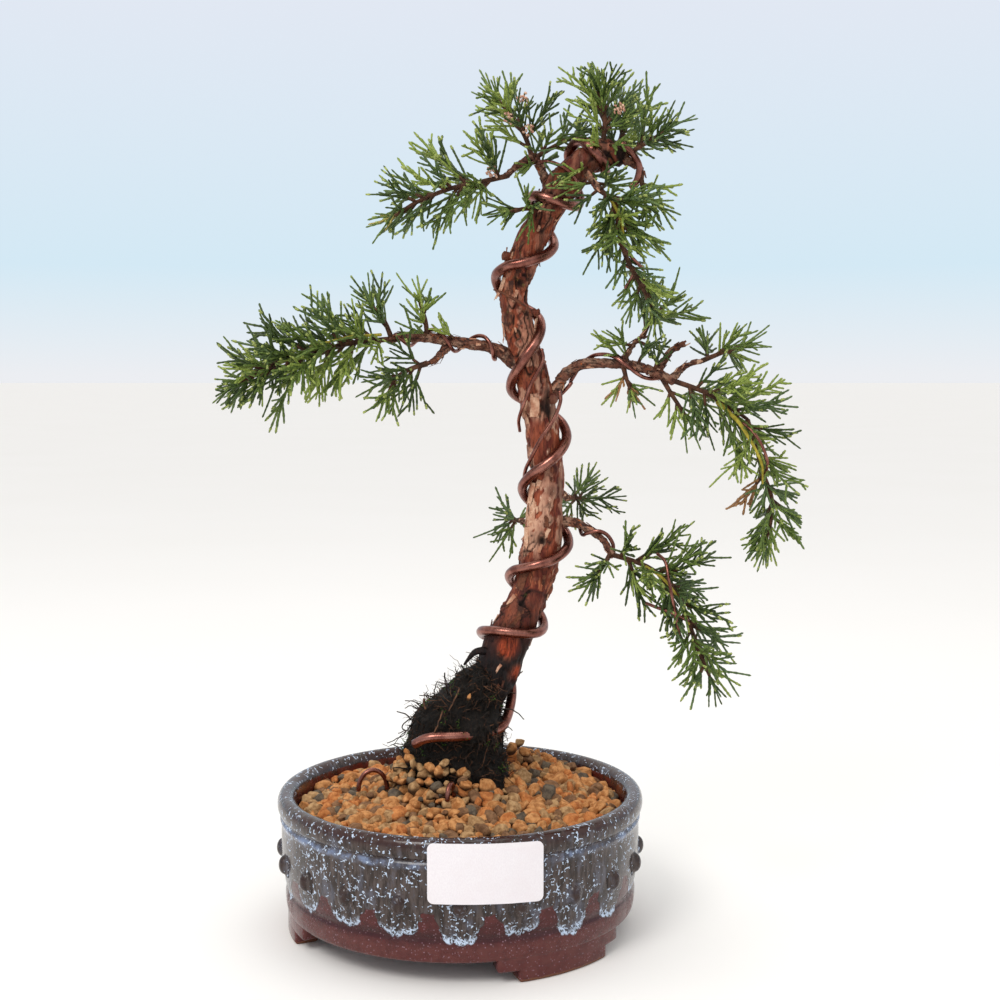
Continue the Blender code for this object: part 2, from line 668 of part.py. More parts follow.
def trunk_wire_route(trunk_route):
    """Round the trunk, one turn for each line of WIRE_TURNS, after the run up from the soil."""
    points = trunk_route[:, :3]
    lengths = np.concatenate([[0], np.cumsum(np.linalg.norm(np.diff(points, axis=0), axis=1))])
    stops = [WIRE_START]
    for turn, (left, front, right) in enumerate(WIRE_TURNS):
        for quarter, place in ((0, left), (0.25, front), (0.5, right)):
            stops.append((turn + quarter, place))
    phases, places = np.array(stops).T
    route = [np.array((*p, WIRE_RADIUS)) for p in WIRE_FOOT]
    for phase in np.arange(phases[0] + 0.08, phases[-1] + 0.01, 1 / 12):
        place = np.interp(phase, phases, places)
        x, y, z, radius = (np.interp(place, lengths, trunk_route[:, i]) for i in range(4))
        ahead = [np.interp(place + 1.5, lengths, points[:, i]) for i in range(3)]
        behind = [np.interp(place - 1.5, lengths, points[:, i]) for i in range(3)]
        along = (Vector(ahead) - Vector(behind)).normalized()
        right = Vector((0, 1, 0)).cross(along).normalized()
        back = along.cross(right)
        angle = math.pi + math.tau * phase
        out = radius * 1.03 + WIRE_RADIUS + CLEAR + 0.15
        at = Vector((x, y, z)) + (right * math.cos(angle) + back * math.sin(angle)) * out
        route.append(np.array((*at, WIRE_RADIUS)))
    return smooth_route(route, 5.0)


def spiral_route(limb_route, turns, start, end, first_angle):
    """A thin wire wound round a limb between these shares of its length."""
    along, across, upward = frames(limb_route)
    count = round(abs(turns) * 14)
    route = []
    for k in range(count + 1):
        share = start + (end - start) * k / count
        index = share * (len(limb_route) - 1)
        i = min(int(index), len(limb_route) - 2)
        x, y, z, radius = limb_route[i] * (1 - index + i) + limb_route[i + 1] * (index - i)
        angle = math.radians(first_angle) - math.tau * turns * k / count
        way = across[i] * math.cos(angle) + upward[i] * math.sin(angle)
        out = radius + THIN_WIRE_RADIUS + CLEAR + 0.25
        route.append((*(Vector((x, y, z)) + way * out), THIN_WIRE_RADIUS))
    return np.array(route)


def tie_route(place, width, height, turn):
    """A loop of tie wire that rises out of the soil and goes back in."""
    foot = Vector((*place, soil_height(*place) + 1.6))
    way = Vector((math.cos(turn), math.sin(turn), 0))
    route = []
    for k in range(10):
        angle = math.pi * k / 9
        at = foot + way * (-width / 2 * math.cos(angle)) + UP * (height * math.sin(angle))
        route.append((*at, TIE_WIRE_RADIUS))
    return np.array(route)


# Room between pieces


class Room:
    """The limbs and shoots made so far, as rods, for telling how near a new one comes."""

    def __init__(self):
        self.starts = np.zeros((0, 3))
        self.ends = np.zeros((0, 3))
        self.radii = np.zeros(0)
        self.owners = np.zeros(0, int)
        self.names = []

    def add(self, rods, owner):
        if owner not in self.names:
            self.names.append(owner)
        starts, ends, radii = zip(*rods)
        self.starts = np.vstack([self.starts, np.array(starts, float)])
        self.ends = np.vstack([self.ends, np.array(ends, float)])
        self.radii = np.concatenate([self.radii, np.array(radii, float)])
        self.owners = np.concatenate([self.owners, np.full(len(radii), self.names.index(owner))])

    def add_route(self, route, owner):
        self.add([(a[:3], b[:3], max(a[3], b[3])) for a, b in zip(route, route[1:])], owner)

    def is_free(self, start, end, radius, owner):
        """Whether a rod keeps clear of every other piece than its own."""
        reach = np.linalg.norm(np.subtract(end, start)) + radius + 12
        near = np.linalg.norm(self.starts - start, axis=1) < reach
        near &= self.owners != self.names.index(owner)
        if not near.any():
            return True
        apart = rod_distance(start, end, self.starts[near], self.ends[near])
        return bool((apart > self.radii[near] + radius + CLEAR + 0.1).all())

    def clear_of(self, points):
        """The least distance from these points to any piece, each taken as flat-ended rods."""
        axis = self.ends - self.starts
        length = np.linalg.norm(axis, axis=1)
        axis = axis / length[:, None]
        least = math.inf
        for point in points:
            away = np.array(point) - self.starts
            run = (away * axis).sum(1)
            beyond = np.maximum(np.maximum(-run, run - length), 0)
            beside = np.linalg.norm(away - run[:, None] * axis, axis=1) - self.radii
            least = min(least, float(np.hypot(beyond, np.maximum(beside, 0)).min()))
        return least

    def trimmed(self, points, step):
        """The route through these points, from where its flat end first stands clear of the rest."""
        fine = smooth_route(points, 0.25)
        along, across, upward = frames(fine)
        first = 0
        for i, (x, y, z, radius) in enumerate(fine):
            ring = [(x, y, z)]
            for k in range(8):
                angle = math.tau * k / 8
                way = across[i] * math.cos(angle) + upward[i] * math.sin(angle)
                ring.append(Vector((x, y, z)) + way * radius)
            if self.clear_of(ring) < CLEAR:
                first = i + 1
        knots = [fine[first]] + [p for p in np.array(points)[1:] if (p[:3] - fine[first][:3]) @ np.array(along[first]) > 1]
        return smooth_route(knots, step)


def rod_distance(start, end, starts, ends):
    """The least distance from one line segment to each of the others."""
    p, d1 = np.array(start, float), np.subtract(end, start)
    d2 = ends - starts
    r = p - starts
    a = float(d1 @ d1)
    e = np.maximum((d2 * d2).sum(1), 1e-9)
    f = (d2 * r).sum(1)
    c = r @ d1
    b = d2 @ d1
    bottom = a * e - b * b
    s = np.clip((b * f - c * e) / np.where(bottom > 1e-9, bottom, 1), 0, 1)
    t = np.clip((b * s + f) / e, 0, 1)
    s = np.clip((b * t - c) / max(a, 1e-9), 0, 1)
    return np.linalg.norm(r + s[:, None] * d1 - t[:, None] * d2, axis=1)


# Foliage


def frond_rule(stem, reaches, lift, gap, chance):
    """The fronds of one stem: (foot, way, reach, flat side) in turn, the last one at its tip."""
    points = [Vector(p) for p in stem[:, :3]]
    lengths = np.concatenate([[0], np.cumsum([(b - a).length for a, b in zip(points, points[1:])])])
    along, across, upward = frames(stem)
    whole = lengths[-1]
    count = max(2, round(whole / gap))
    turn = chance.uniform(0, math.tau)
    fronds = []
    for k in range(count):
        share = (k + 0.5) / (count + 0.3)
        i = int(np.searchsorted(lengths, share * whole, side="right")) - 1
        part = (share * whole - lengths[i]) / (lengths[i + 1] - lengths[i])
        foot = points[i].lerp(points[i + 1], part)
        turn += GOLDEN_ANGLE
        out = across[i] * math.cos(turn) + upward[i] * math.sin(turn)
        angle = FROND_ANGLE * chance.uniform(0.85, 1.15) * (1 - 0.35 * share)
        way = (along[i] * math.cos(angle) + out * math.sin(angle) + UP * lift).normalized()
        reach = float(np.interp(share, (0, 0.5, 1), reaches)) * chance.uniform(0.85, 1.05)
        flat = Quaternion(way, chance.uniform(-0.8, 0.8)) @ way.cross(out).normalized()
        fronds.append((foot, way, reach, flat))
    way = (along[-1] + UP * lift * 0.5).normalized()
    fronds.append((points[-1], way, reaches[2], way.orthogonal().normalized()))
    return fronds


def shoot_rule(foot, way, reach, flat, chance):
    """The shoots of one frond, in pairs: (point on its middle line, left tip, right tip)."""
    face = way.cross(flat)
    pairs = max(1, round((reach - 4.0) / SHOOT_GAP))
    shoots = []
    for k in range(pairs):
        share = (k + 0.45) / (pairs + 0.25)
        middle = foot + way * (reach * share)
        tips = []
        for side in (-1, 1):
            angle = SHOOT_ANGLE * chance.uniform(0.8, 1.2)
            aim = way * math.cos(angle) + flat * (side * math.sin(angle)) + face * chance.uniform(-0.35, 0.35)
            length = min(SHOOT_LENGTH, reach * 0.8) * chance.uniform(0.8, 1.05) * (1 - 0.25 * share)
            tips.append(middle + aim.normalized() * length)
        shoots.append((middle, *tips))
    return shoots


def frond_mesh(foot, way, reach, flat, shoots):
    """A closed blade, thick along its middle line, with a blunt tooth for each shoot."""
    half, thick = FROND_CORE
    blunt = SHOOT_WIDTH / 2
    face = way.cross(flat)
    shape = bmesh.new()
    root = foot - way * FROND_ROOT
    middles = [root] + [middle for middle, *_ in shoots]
    notches = [middles[1] - way * 2.5]
    notches += [a.lerp(b, 0.5) for a, b in zip(middles[1:], middles[2:])]
    notches.append(middles[-1] + way * 3.0)
    rims = []
    for side in (-1, 1):
        runs = [[root + flat * (side * half)]]
        for k, shoot in enumerate(shoots):
            run = [notches[k] + flat * (side * half)]
            tip = shoot[1 if side < 0 else 2]
            if tip is not None:
                back = (tip - shoot[0]).normalized().cross(face).normalized() * -side
                run += [tip + back * blunt, tip - back * blunt]
            runs.append(run + [notches[k + 1] + flat * (side * half)])
        rims.append(runs)
    ends = [shape.verts.new((foot + way * reach + flat * (side * blunt)) * MM) for side in (-1, 1)]
    spots = {}

    def vert(at):
        key = tuple(round(v, 4) for v in at)
        if key not in spots:
            spots[key] = shape.verts.new(at * MM)
        return spots[key]

    for height in (thick, -thick):
        crests = [vert(middle + face * height) for middle in middles]
        for runs, end in zip(rims, ends):
            shape.faces.new((crests[0], vert(runs[0][0]), vert(runs[1][0])))
            for k, run in enumerate(runs[1:]):
                shape.faces.new((crests[k], vert(run[0]), crests[k + 1]))
                for a, b in zip(run, run[1:]):
                    shape.faces.new((crests[k + 1], vert(a), vert(b)))
            shape.faces.new((crests[-1], vert(runs[-1][-1]), end))
        shape.faces.new((crests[-1], *ends))
    tail = [vert(rims[0][0][0]), vert(root + face * thick), vert(rims[1][0][0]), vert(root - face * thick)]
    shape.faces.new(tail)
    return mesh_of("frond", shape)


def grow_mass(name, stem, reaches, lift, gap, room):
    """One mass as a single solid: its stem, and the fronds and shoots that have room."""
    chance = random.Random(name)
    body = add_object(name, tube_mesh(name, stem, 4))
    core = FROND_CORE[0]
    pieces = []
    rods = []
    for foot, way, longest, flat in frond_rule(stem, reaches, lift, gap, chance):
        lengths = [longest * share for share in FROND_SHARES]
        free = [reach for reach in lengths if room.is_free(foot, foot + way * reach, core, name)]
        if not free:
            continue
        reach = free[0]
        shoots = shoot_rule(foot, way, reach, flat, chance)
        rods.append((foot, foot + way * reach, core))
        kept = []
        for middle, *tips in shoots:
            clear = [tip if room.is_free(middle, tip, SHOOT_WIDTH, name) else None for tip in tips]
            rods += [(middle, tip, SHOOT_WIDTH) for tip in clear if tip is not None]
            kept.append((middle, *clear))
        pieces.append(add_object("frond", frond_mesh(foot, way, reach, flat, kept)))
    boolean(body, pieces, "UNION", "MANIFOLD")
    keep_one_body(body)
    room.add(rods, name)
    return add_finish(body, "foliage")


def clear_scene():
    for old in list(bpy.data.objects):
        bpy.data.objects.remove(old)


def main():
    clear_scene()
    trunk_route = smooth_route(TRUNK, 7.5)
    made = [make_pot(), make_label(), make_soil(), make_root_mass(trunk_route), make_trunk(trunk_route)]
    room = Room()
    widest = trunk_route.copy()
    widest[:, 3] *= 1.03
    room.add_route(widest, "trunk")
    limbs = {}
    wires = {"wire_trunk": (trunk_wire_route(trunk_route), 6)}
    wired = {limb: (name, course) for name, (limb, *course) in THIN_WIRES.items()}
    for name in sorted(BOUGHS, key=lambda limb: limb not in wired):
        limbs[name] = room.trimmed(BOUGHS[name], 4.0)
        room.add_route(limbs[name], name)
        made.append(add_object(name, tube_mesh(name, limbs[name], 7), "bark"))
        if name in wired:
            wire, course = wired[name]
            wires[wire] = (spiral_route(limbs[name], *course), 4)
            room.add_route(wires[wire][0], wire)
    for name, (place, width, height, turn) in TIE_WIRES.items():
        wires[name] = (tie_route(place, width, height, turn), 4)
    room.add_route(wires["wire_trunk"][0], "wire_trunk")
    for name, (route, sides) in wires.items():
        made.append(add_object(name, tube_mesh(name, route, sides), "wire"))
    stems = {}
    for name, (route, *_) in MASSES.items():
        radii = np.linspace(STEM_RADII[0], STEM_RADII[1], len(route))
        stems[name] = room.trimmed([(*p, r) for p, r in zip(route, radii)], 8.5)
        room.add_route(stems[name], name)
    for name, (_, reaches, lift, gap) in MASSES.items():
        made.append(grow_mass(name, stems[name], reaches, lift, gap, room))
    stand_on_origin(made)


def stand_on_origin(made):
    """Hangs everything on an empty, placed so that the origin is the middle of the footprint."""
    bpy.context.view_layer.update()
    corners = np.array([o.matrix_world @ v.co for o in made for v in o.data.vertices])
    low, high = corners.min(0), corners.max(0)
    plant = bpy.data.objects.new("plant", None)
    bpy.context.scene.collection.objects.link(plant)
    plant.location = (-(low[0] + high[0]) / 2, -(low[1] + high[1]) / 2, -low[2])
    for one in made:
        one.parent = plant


main()
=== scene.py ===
"""Juniper bonsai in a round glazed pot: its looks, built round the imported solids.

Lengths are in millimetres from the pot's axis at table height: +X to the right, +Y to the
back, +Z up. place() turns them into metres in the frame of the solids.
"""

import json
import math
import random
from functools import reduce

import bpy
import numpy as np
from mathutils import Matrix, Quaternion, Vector, noise
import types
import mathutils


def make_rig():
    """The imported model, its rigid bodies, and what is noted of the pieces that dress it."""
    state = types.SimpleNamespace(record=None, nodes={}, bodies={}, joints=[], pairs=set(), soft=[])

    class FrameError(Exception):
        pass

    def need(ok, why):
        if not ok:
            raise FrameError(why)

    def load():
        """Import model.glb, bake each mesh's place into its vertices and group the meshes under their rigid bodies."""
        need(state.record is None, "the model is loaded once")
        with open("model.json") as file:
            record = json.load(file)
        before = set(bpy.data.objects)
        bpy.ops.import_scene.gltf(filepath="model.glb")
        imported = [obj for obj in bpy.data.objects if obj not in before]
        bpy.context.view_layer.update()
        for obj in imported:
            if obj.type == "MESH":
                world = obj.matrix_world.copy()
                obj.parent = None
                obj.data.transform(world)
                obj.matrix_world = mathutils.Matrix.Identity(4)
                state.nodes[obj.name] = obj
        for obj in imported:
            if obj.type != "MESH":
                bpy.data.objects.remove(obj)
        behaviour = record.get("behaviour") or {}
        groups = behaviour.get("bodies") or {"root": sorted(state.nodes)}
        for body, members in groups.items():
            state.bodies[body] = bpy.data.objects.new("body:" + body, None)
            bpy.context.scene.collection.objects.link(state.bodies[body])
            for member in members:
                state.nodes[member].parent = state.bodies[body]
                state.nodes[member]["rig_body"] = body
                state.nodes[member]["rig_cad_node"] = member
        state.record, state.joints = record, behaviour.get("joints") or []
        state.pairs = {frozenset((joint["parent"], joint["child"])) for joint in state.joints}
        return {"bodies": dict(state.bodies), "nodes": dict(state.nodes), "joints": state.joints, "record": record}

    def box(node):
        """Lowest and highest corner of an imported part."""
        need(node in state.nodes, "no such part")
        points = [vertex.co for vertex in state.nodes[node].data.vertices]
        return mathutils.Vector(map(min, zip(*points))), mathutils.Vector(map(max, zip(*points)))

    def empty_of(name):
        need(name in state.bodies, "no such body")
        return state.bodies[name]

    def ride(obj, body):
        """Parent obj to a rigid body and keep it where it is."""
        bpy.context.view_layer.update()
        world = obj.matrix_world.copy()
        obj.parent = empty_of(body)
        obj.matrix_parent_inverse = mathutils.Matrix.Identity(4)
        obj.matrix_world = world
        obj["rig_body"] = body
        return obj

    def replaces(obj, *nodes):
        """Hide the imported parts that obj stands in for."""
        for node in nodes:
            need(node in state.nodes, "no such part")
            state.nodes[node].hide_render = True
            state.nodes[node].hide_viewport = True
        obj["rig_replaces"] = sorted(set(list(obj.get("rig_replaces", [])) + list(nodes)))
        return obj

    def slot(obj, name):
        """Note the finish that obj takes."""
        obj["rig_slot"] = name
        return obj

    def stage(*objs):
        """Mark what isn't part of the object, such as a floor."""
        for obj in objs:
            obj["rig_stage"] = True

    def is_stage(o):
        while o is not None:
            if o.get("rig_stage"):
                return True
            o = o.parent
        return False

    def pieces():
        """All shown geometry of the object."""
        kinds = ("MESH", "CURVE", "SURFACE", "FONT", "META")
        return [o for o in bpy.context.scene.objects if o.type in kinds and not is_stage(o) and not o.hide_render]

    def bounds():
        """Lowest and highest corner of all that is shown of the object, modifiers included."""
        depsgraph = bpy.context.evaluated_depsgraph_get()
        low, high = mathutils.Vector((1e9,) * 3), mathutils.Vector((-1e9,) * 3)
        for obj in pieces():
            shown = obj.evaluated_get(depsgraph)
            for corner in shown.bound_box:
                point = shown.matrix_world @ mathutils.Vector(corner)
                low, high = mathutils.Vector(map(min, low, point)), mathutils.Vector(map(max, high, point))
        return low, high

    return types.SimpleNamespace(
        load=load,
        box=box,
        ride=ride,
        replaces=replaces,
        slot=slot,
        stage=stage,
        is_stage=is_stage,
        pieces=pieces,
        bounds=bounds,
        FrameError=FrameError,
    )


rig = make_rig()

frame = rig.load()
SOLID_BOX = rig.bounds()

noise.seed_set(1)  # noise vectors would otherwise start from the clock

MM = 0.001
CLEAR = 0.35
GOLDEN_ANGLE = math.radians(137.5)
UP = Vector((0, 0, 1))
POT_LOW, POT_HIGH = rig.box("pot")
MIDDLE = Vector(((POT_LOW.x + POT_HIGH.x) / 2, (POT_LOW.y + POT_HIGH.y) / 2, 0)) / MM
MERGE = 0.01  # points nearer than this become one

# Pot
POT_STEPS = 72
RIM_RADIUS = 68.8
POT_PROFILE = (  # radius, height: from the drain hole over the floor, up, over the rim and down
    (7.0, 13.0), (20.0, 13.0), (40.0, 13.0), (52.0, 13.2), (57.6, 15.4), (59.6, 19.5), (60.4, 28.0),
    (61.0, 38.0), (61.4, 45.0), (62.0, 48.8), (62.6, 50.6), (64.0, 51.8), (66.0, 52.1), (67.8, 51.3),
    (68.75, 49.4), (68.85, 47.2), (68.3, 45.2), (67.3, 44.4), (67.1, 43.8), (67.95, 43.0), (67.9, 42.2),
    (67.3, 41.2), (67.4, 38.0), (67.4, 33.0), (67.2, 28.5), (66.8, 24.0), (66.3, 20.4), (65.9, 18.4),
    (65.35, 17.4), (65.4, 16.6), (66.0, 15.6), (66.1, 13.6), (65.8, 10.6), (65.4, 8.7), (64.6, 8.1),
    (62.0, 8.0), (60.6, 8.2), (59.6, 9.2), (40.0, 9.2), (20.0, 9.2), (7.6, 9.2), (7.0, 9.8), (7.0, 12.4),
)
STUDS = 20
STUD_TURN = math.radians(1.2)
STUD_HEIGHT = 28.5
STUD_SIZE = (2.7, 2.5, 3.6)  # half its width, its depth and half its height
STUD_WALL = 67.2
STUD_CUT = 0.7  # how far behind its middle the dome is cut off
STUD_FLARE = ((1.09, 0.35), (1.12, 0.22), (1.12, 0.18), (1.1, 0.2))  # growth and depth of its foot's rings
FEET = 3
FOOT_TURN = math.radians(37)
FOOT_RADIUS = 65.2
FOOT_DEPTH = 8.6
FOOT_TIERS = ((17.5, 0.0, 5.6), (24.5, 4.0, 10.0))  # half its turn in degrees, bottom, top
FOOT_STEPS = 14
FOOT_ROUNDING = 1.1

LABEL_SIZE = (39.6, 20.7, 0.3)
LABEL_TURN = math.radians(8.6)
LABEL_LEAN = math.radians(-1.4)
LABEL_HEIGHT = 40.8
LABEL_CURVE = 92.0
LABEL_CORNER = 2.1
LABEL_CUTS = (28, 6)
LABEL_RIPPLE = 0.12

# Soil and root mass
GROUND = 52.0
SOIL_EDGE = 47.0
SOIL_HEAP = (9.5, 29.0)  # its rise in the middle, and how far it spreads
SOIL_MOUND = ((25.0, 30.0), 9.0, 12.0)
GRAIN_RELIEF = 0.9
SOIL_RADIUS = 60.3
BED_MESH = (30, 96)  # rings, and points in each
BED_DROP = 3.4  # below the tops of the stones
BED_GRIT = 0.8
BED_BOTTOM = 30.0
STONE_SHAPES = 12
STONE_LAYERS = ((0, 4.6, 3.2), (1, 4.2, 1.5), (2, 4.7, 0.3))  # number, spacing, depth in the soil
STONE_SIZES = (1.2, 1.5, 1.8, 2.1, 2.4, 2.7, 3.0)
STONE_TINTS = {  # share of the stones, then their dark, light and speckled colours on screen
    "ochre": (0.36, (160, 102, 56), (208, 150, 96), (214, 168, 120)),
    "amber": (0.16, (160, 92, 48), (206, 136, 80), (214, 162, 114)),
    "tan": (0.24, (138, 102, 66), (190, 152, 108), (200, 170, 132)),
    "umber": (0.15, (104, 74, 52), (142, 106, 76), (166, 130, 98)),
    "slate": (0.09, (76, 66, 58), (112, 100, 84), (142, 128, 108)),
}
BANK_STONES = 46
PERCHED_STONES = (  # place and size of the ones that lie on the roots
    (-18.8, -9.5, 64.6, 1.9), (-19.6, -8.5, 66.8, 1.5), (-17.2, -11.6, 62.6, 1.8), (-10.6, -15.6, 62.6, 2.2),
    (-7.4, -16.9, 61.6, 2.3), (-5.6, -16.4, 64.6, 1.7), (19.5, 14.0, 62.6, 2.4), (22.5, 19.0, 63.8, 2.5),
    (24.5, 12.0, 61.5, 2.2), (3.6, -12.4, 88.6, 1.2),
)
ROOT_RINGS = (  # height, middle along X and Y, half the width along X and Y
    (GROUND + CLEAR, -1.5, 2.0, 19.5, 17.0),
    (61.0, -2.6, 2.0, 19.2, 16.0),
    (69.0, -2.0, 2.0, 17.6, 14.5),
    (78.0, -1.3, 2.0, 16.7, 13.0),
    (84.0, 1.4, 2.0, 14.2, 12.4),
    (89.0, 5.5, 2.5, 11.0, 12.0),
    (94.0, 8.6, 2.8, 9.4, 10.5),
    (99.5, 14.2, 3.0, 7.7, 8.5),
    (108.0, 16.5, 3.0, 7.4, 8.0),
)
ROOT_TOP = ((14.0, 2.0, 89.0), (0.8, 0.0, 0.6))  # a point on the sloping cut, and the way it faces
ROOT_MESH = (84, 150)
HAIR_ROOTS = 2600
MOSS_TUFTS = 150

# Trunk, boughs and wires, as in the part's source: x, y, height and radius
TRUNK = (
    (6.4, 2.0, GROUND + CLEAR, 10.4), (6.6, 2.0, 66.0, 7.8), (8.4, 2.0, 82.0, 6.6),
    (13.5, 3.0, 95.0, 7.9), (19.3, 3.5, 110.0, 8.0), (26.5, 4.5, 125.5, 6.6), (30.5, 5.0, 141.0, 7.4),
    (32.3, 6.0, 160.0, 6.5), (31.9, 6.0, 179.0, 6.1), (28.4, 4.0, 200.5, 6.2), (22.8, 2.0, 222.0, 5.5),
    (20.2, 0.0, 238.0, 5.0), (25.3, -2.0, 253.5, 5.7), (33.6, -4.0, 268.7, 5.2),
    (39.0, -5.0, 277.0, 6.1), (46.0, -6.5, 284.0, 5.2), (53.0, -8.0, 286.8, 4.3),
    (59.0, -9.0, 285.0, 3.4),
)
STUBS = (  # foot, way, length, radius
    ((24.0, -1.0, 249.0), (-1.0, -0.4, 0.2), 8.5, 1.9),
    ((21.6, 1.2, 229.5), (1.0, -0.3, 0.1), 8.2, 1.2),
    ((29.0, 4.2, 197.0), (0.9, -0.5, 0.2), 7.6, 2.2),
)
BOUGHS = {
    "bough_left": (
        (25.6, 3, 210.2, 2.7), (19.1, 3, 212.6, 2.5), (15.0, 2, 215.9, 2.3), (7.6, 0, 218.0, 2.1),
        (-1.6, -3, 219.1, 2.0), (-10.7, -5, 220.5, 1.9), (-19.7, -8, 220.8, 1.7),
        (-25.1, -9, 220.0, 1.5),
    ),
    "bough_left_fork": ((-3.4, -3.5, 219.2, 1.3), (-8.0, -6.5, 213.0, 1.2), (-11.7, -8, 211.0, 1.0)),
    "bough_right": (
        (28.6, 4, 194.5, 2.9), (35.4, 5, 201.2, 2.5), (38.5, 5, 206.2, 2.2), (42.6, 4, 209.6, 2.0),
        (47.4, 3, 211.4, 1.9), (60.5, 0, 211.0, 1.9), (67.8, -2, 209.6, 1.8), (73.9, -4, 207.0, 1.8),
        (78.9, -5, 204.8, 1.6),
    ),
    "bough_right_upper": ((59.6, 0.2, 211.0, 1.1), (64.5, 3, 218.1, 1.0), (68.3, 4, 221.5, 0.9)),
    "bough_right_top": ((77.5, -4.6, 205.3, 1.2), (83.8, -1, 210.3, 1.0), (89.9, 1, 212.2, 0.9)),
    "bough_right_snag": ((72.5, -3.5, 207.6, 1.3), (77.8, -1, 215.4, 1.1), (82.8, -1, 218.6, 1.3)),
    "bough_lower": (
        (31.6, 5, 150.4, 2.4), (39.2, 6, 151.6, 2.1), (44.0, 4, 151.5, 1.7), (47.9, 1, 149.5, 1.5),
        (51.9, -2, 147.2, 1.4), (54.7, -5, 143.8, 1.3), (56.7, -8, 140.8, 1.2),
    ),
    "bough_back": ((33.4, 9, 164.0, 2.0), (37.6, 27, 161.5, 1.6), (42.2, 40, 158.0, 1.2)),
    "bough_back_left": ((31.0, 9, 145.5, 1.6), (27.4, 26, 149.0, 1.3), (23.3, 36, 149.1, 1.0)),
    "bough_top": ((34.5, -4.2, 270.6, 1.9), (29.6, -4, 282.8, 1.6), (26.6, -3, 286.4, 1.4)),
    "bough_top_outer": ((26.8, -3.2, 286.0, 1.2), (21.0, -5, 282.4, 1.2), (17.5, -7, 278.8, 1.1)),
    "bough_droop": ((44.5, -6.3, 282.6, 1.4), (48.4, -15.5, 275.5, 1.3), (50.5, -18, 272.3, 1.1)),
    "bough_droop_side": ((58.5, -9.0, 285.1, 1.3), (65.0, -11.5, 281.0, 1.1), (65.6, -12, 277.4, 1.0)),
}
BARK_STEP = 0.6  # between the rings of a bark mesh
TRUNK_STEP = 0.62
TRUNK_SIDES = 104
FLAKES = 110

WIRE_RADIUS = 1.9
WIRE_FOOT = (
    (-16.5, -13.0, 71.0), (-11.0, -15.6, 74.0), (0.0, -15.8, 74.6), (9.0, -13.4, 75.0),
    (15.4, -8.4, 76.5), (18.4, -1.0, 81.0), (19.4, 8.0, 88.0), (16.6, 14.5, 95.0),
)
WIRE_START = (-0.25, 51.5)  # turns gone, and how far up the trunk
WIRE_TURNS = (  # how far up the trunk each turn passes its left, front and right
    (56.0, 61.0, 66.8), (80.7, 88.6, 97.3), (116.6, 126.5, 136.2), (156.6, 168.1, 178.2),
    (195.5, 202.4, 212.5), (224.3, 227.6, 230.9), (246.2, 251.0, 255.5),
)
THIN_WIRE_RADIUS = 0.75
THIN_WIRE_SIDES = 10
THIN_WIRES = {  # limb, turns (below zero the other way), shares of the limb, first angle
    "wire_left": ("bough_left", -2.5, 0.06, 0.97, -60),
    "wire_right": ("bough_right", -1.25, 0.05, 0.97, -180),
    "wire_lower": ("bough_lower", 1.15, 0.14, 0.96, 270),
}
TIE_WIRE_RADIUS = 0.9
TIE_WIRES = {
    "wire_tie_left": ((-33.0, -3.0), 11.0, 7.5, math.radians(15)),
    "wire_tie_front": ((-3.0, -22.0), 6.5, 5.5, math.radians(70)),
}

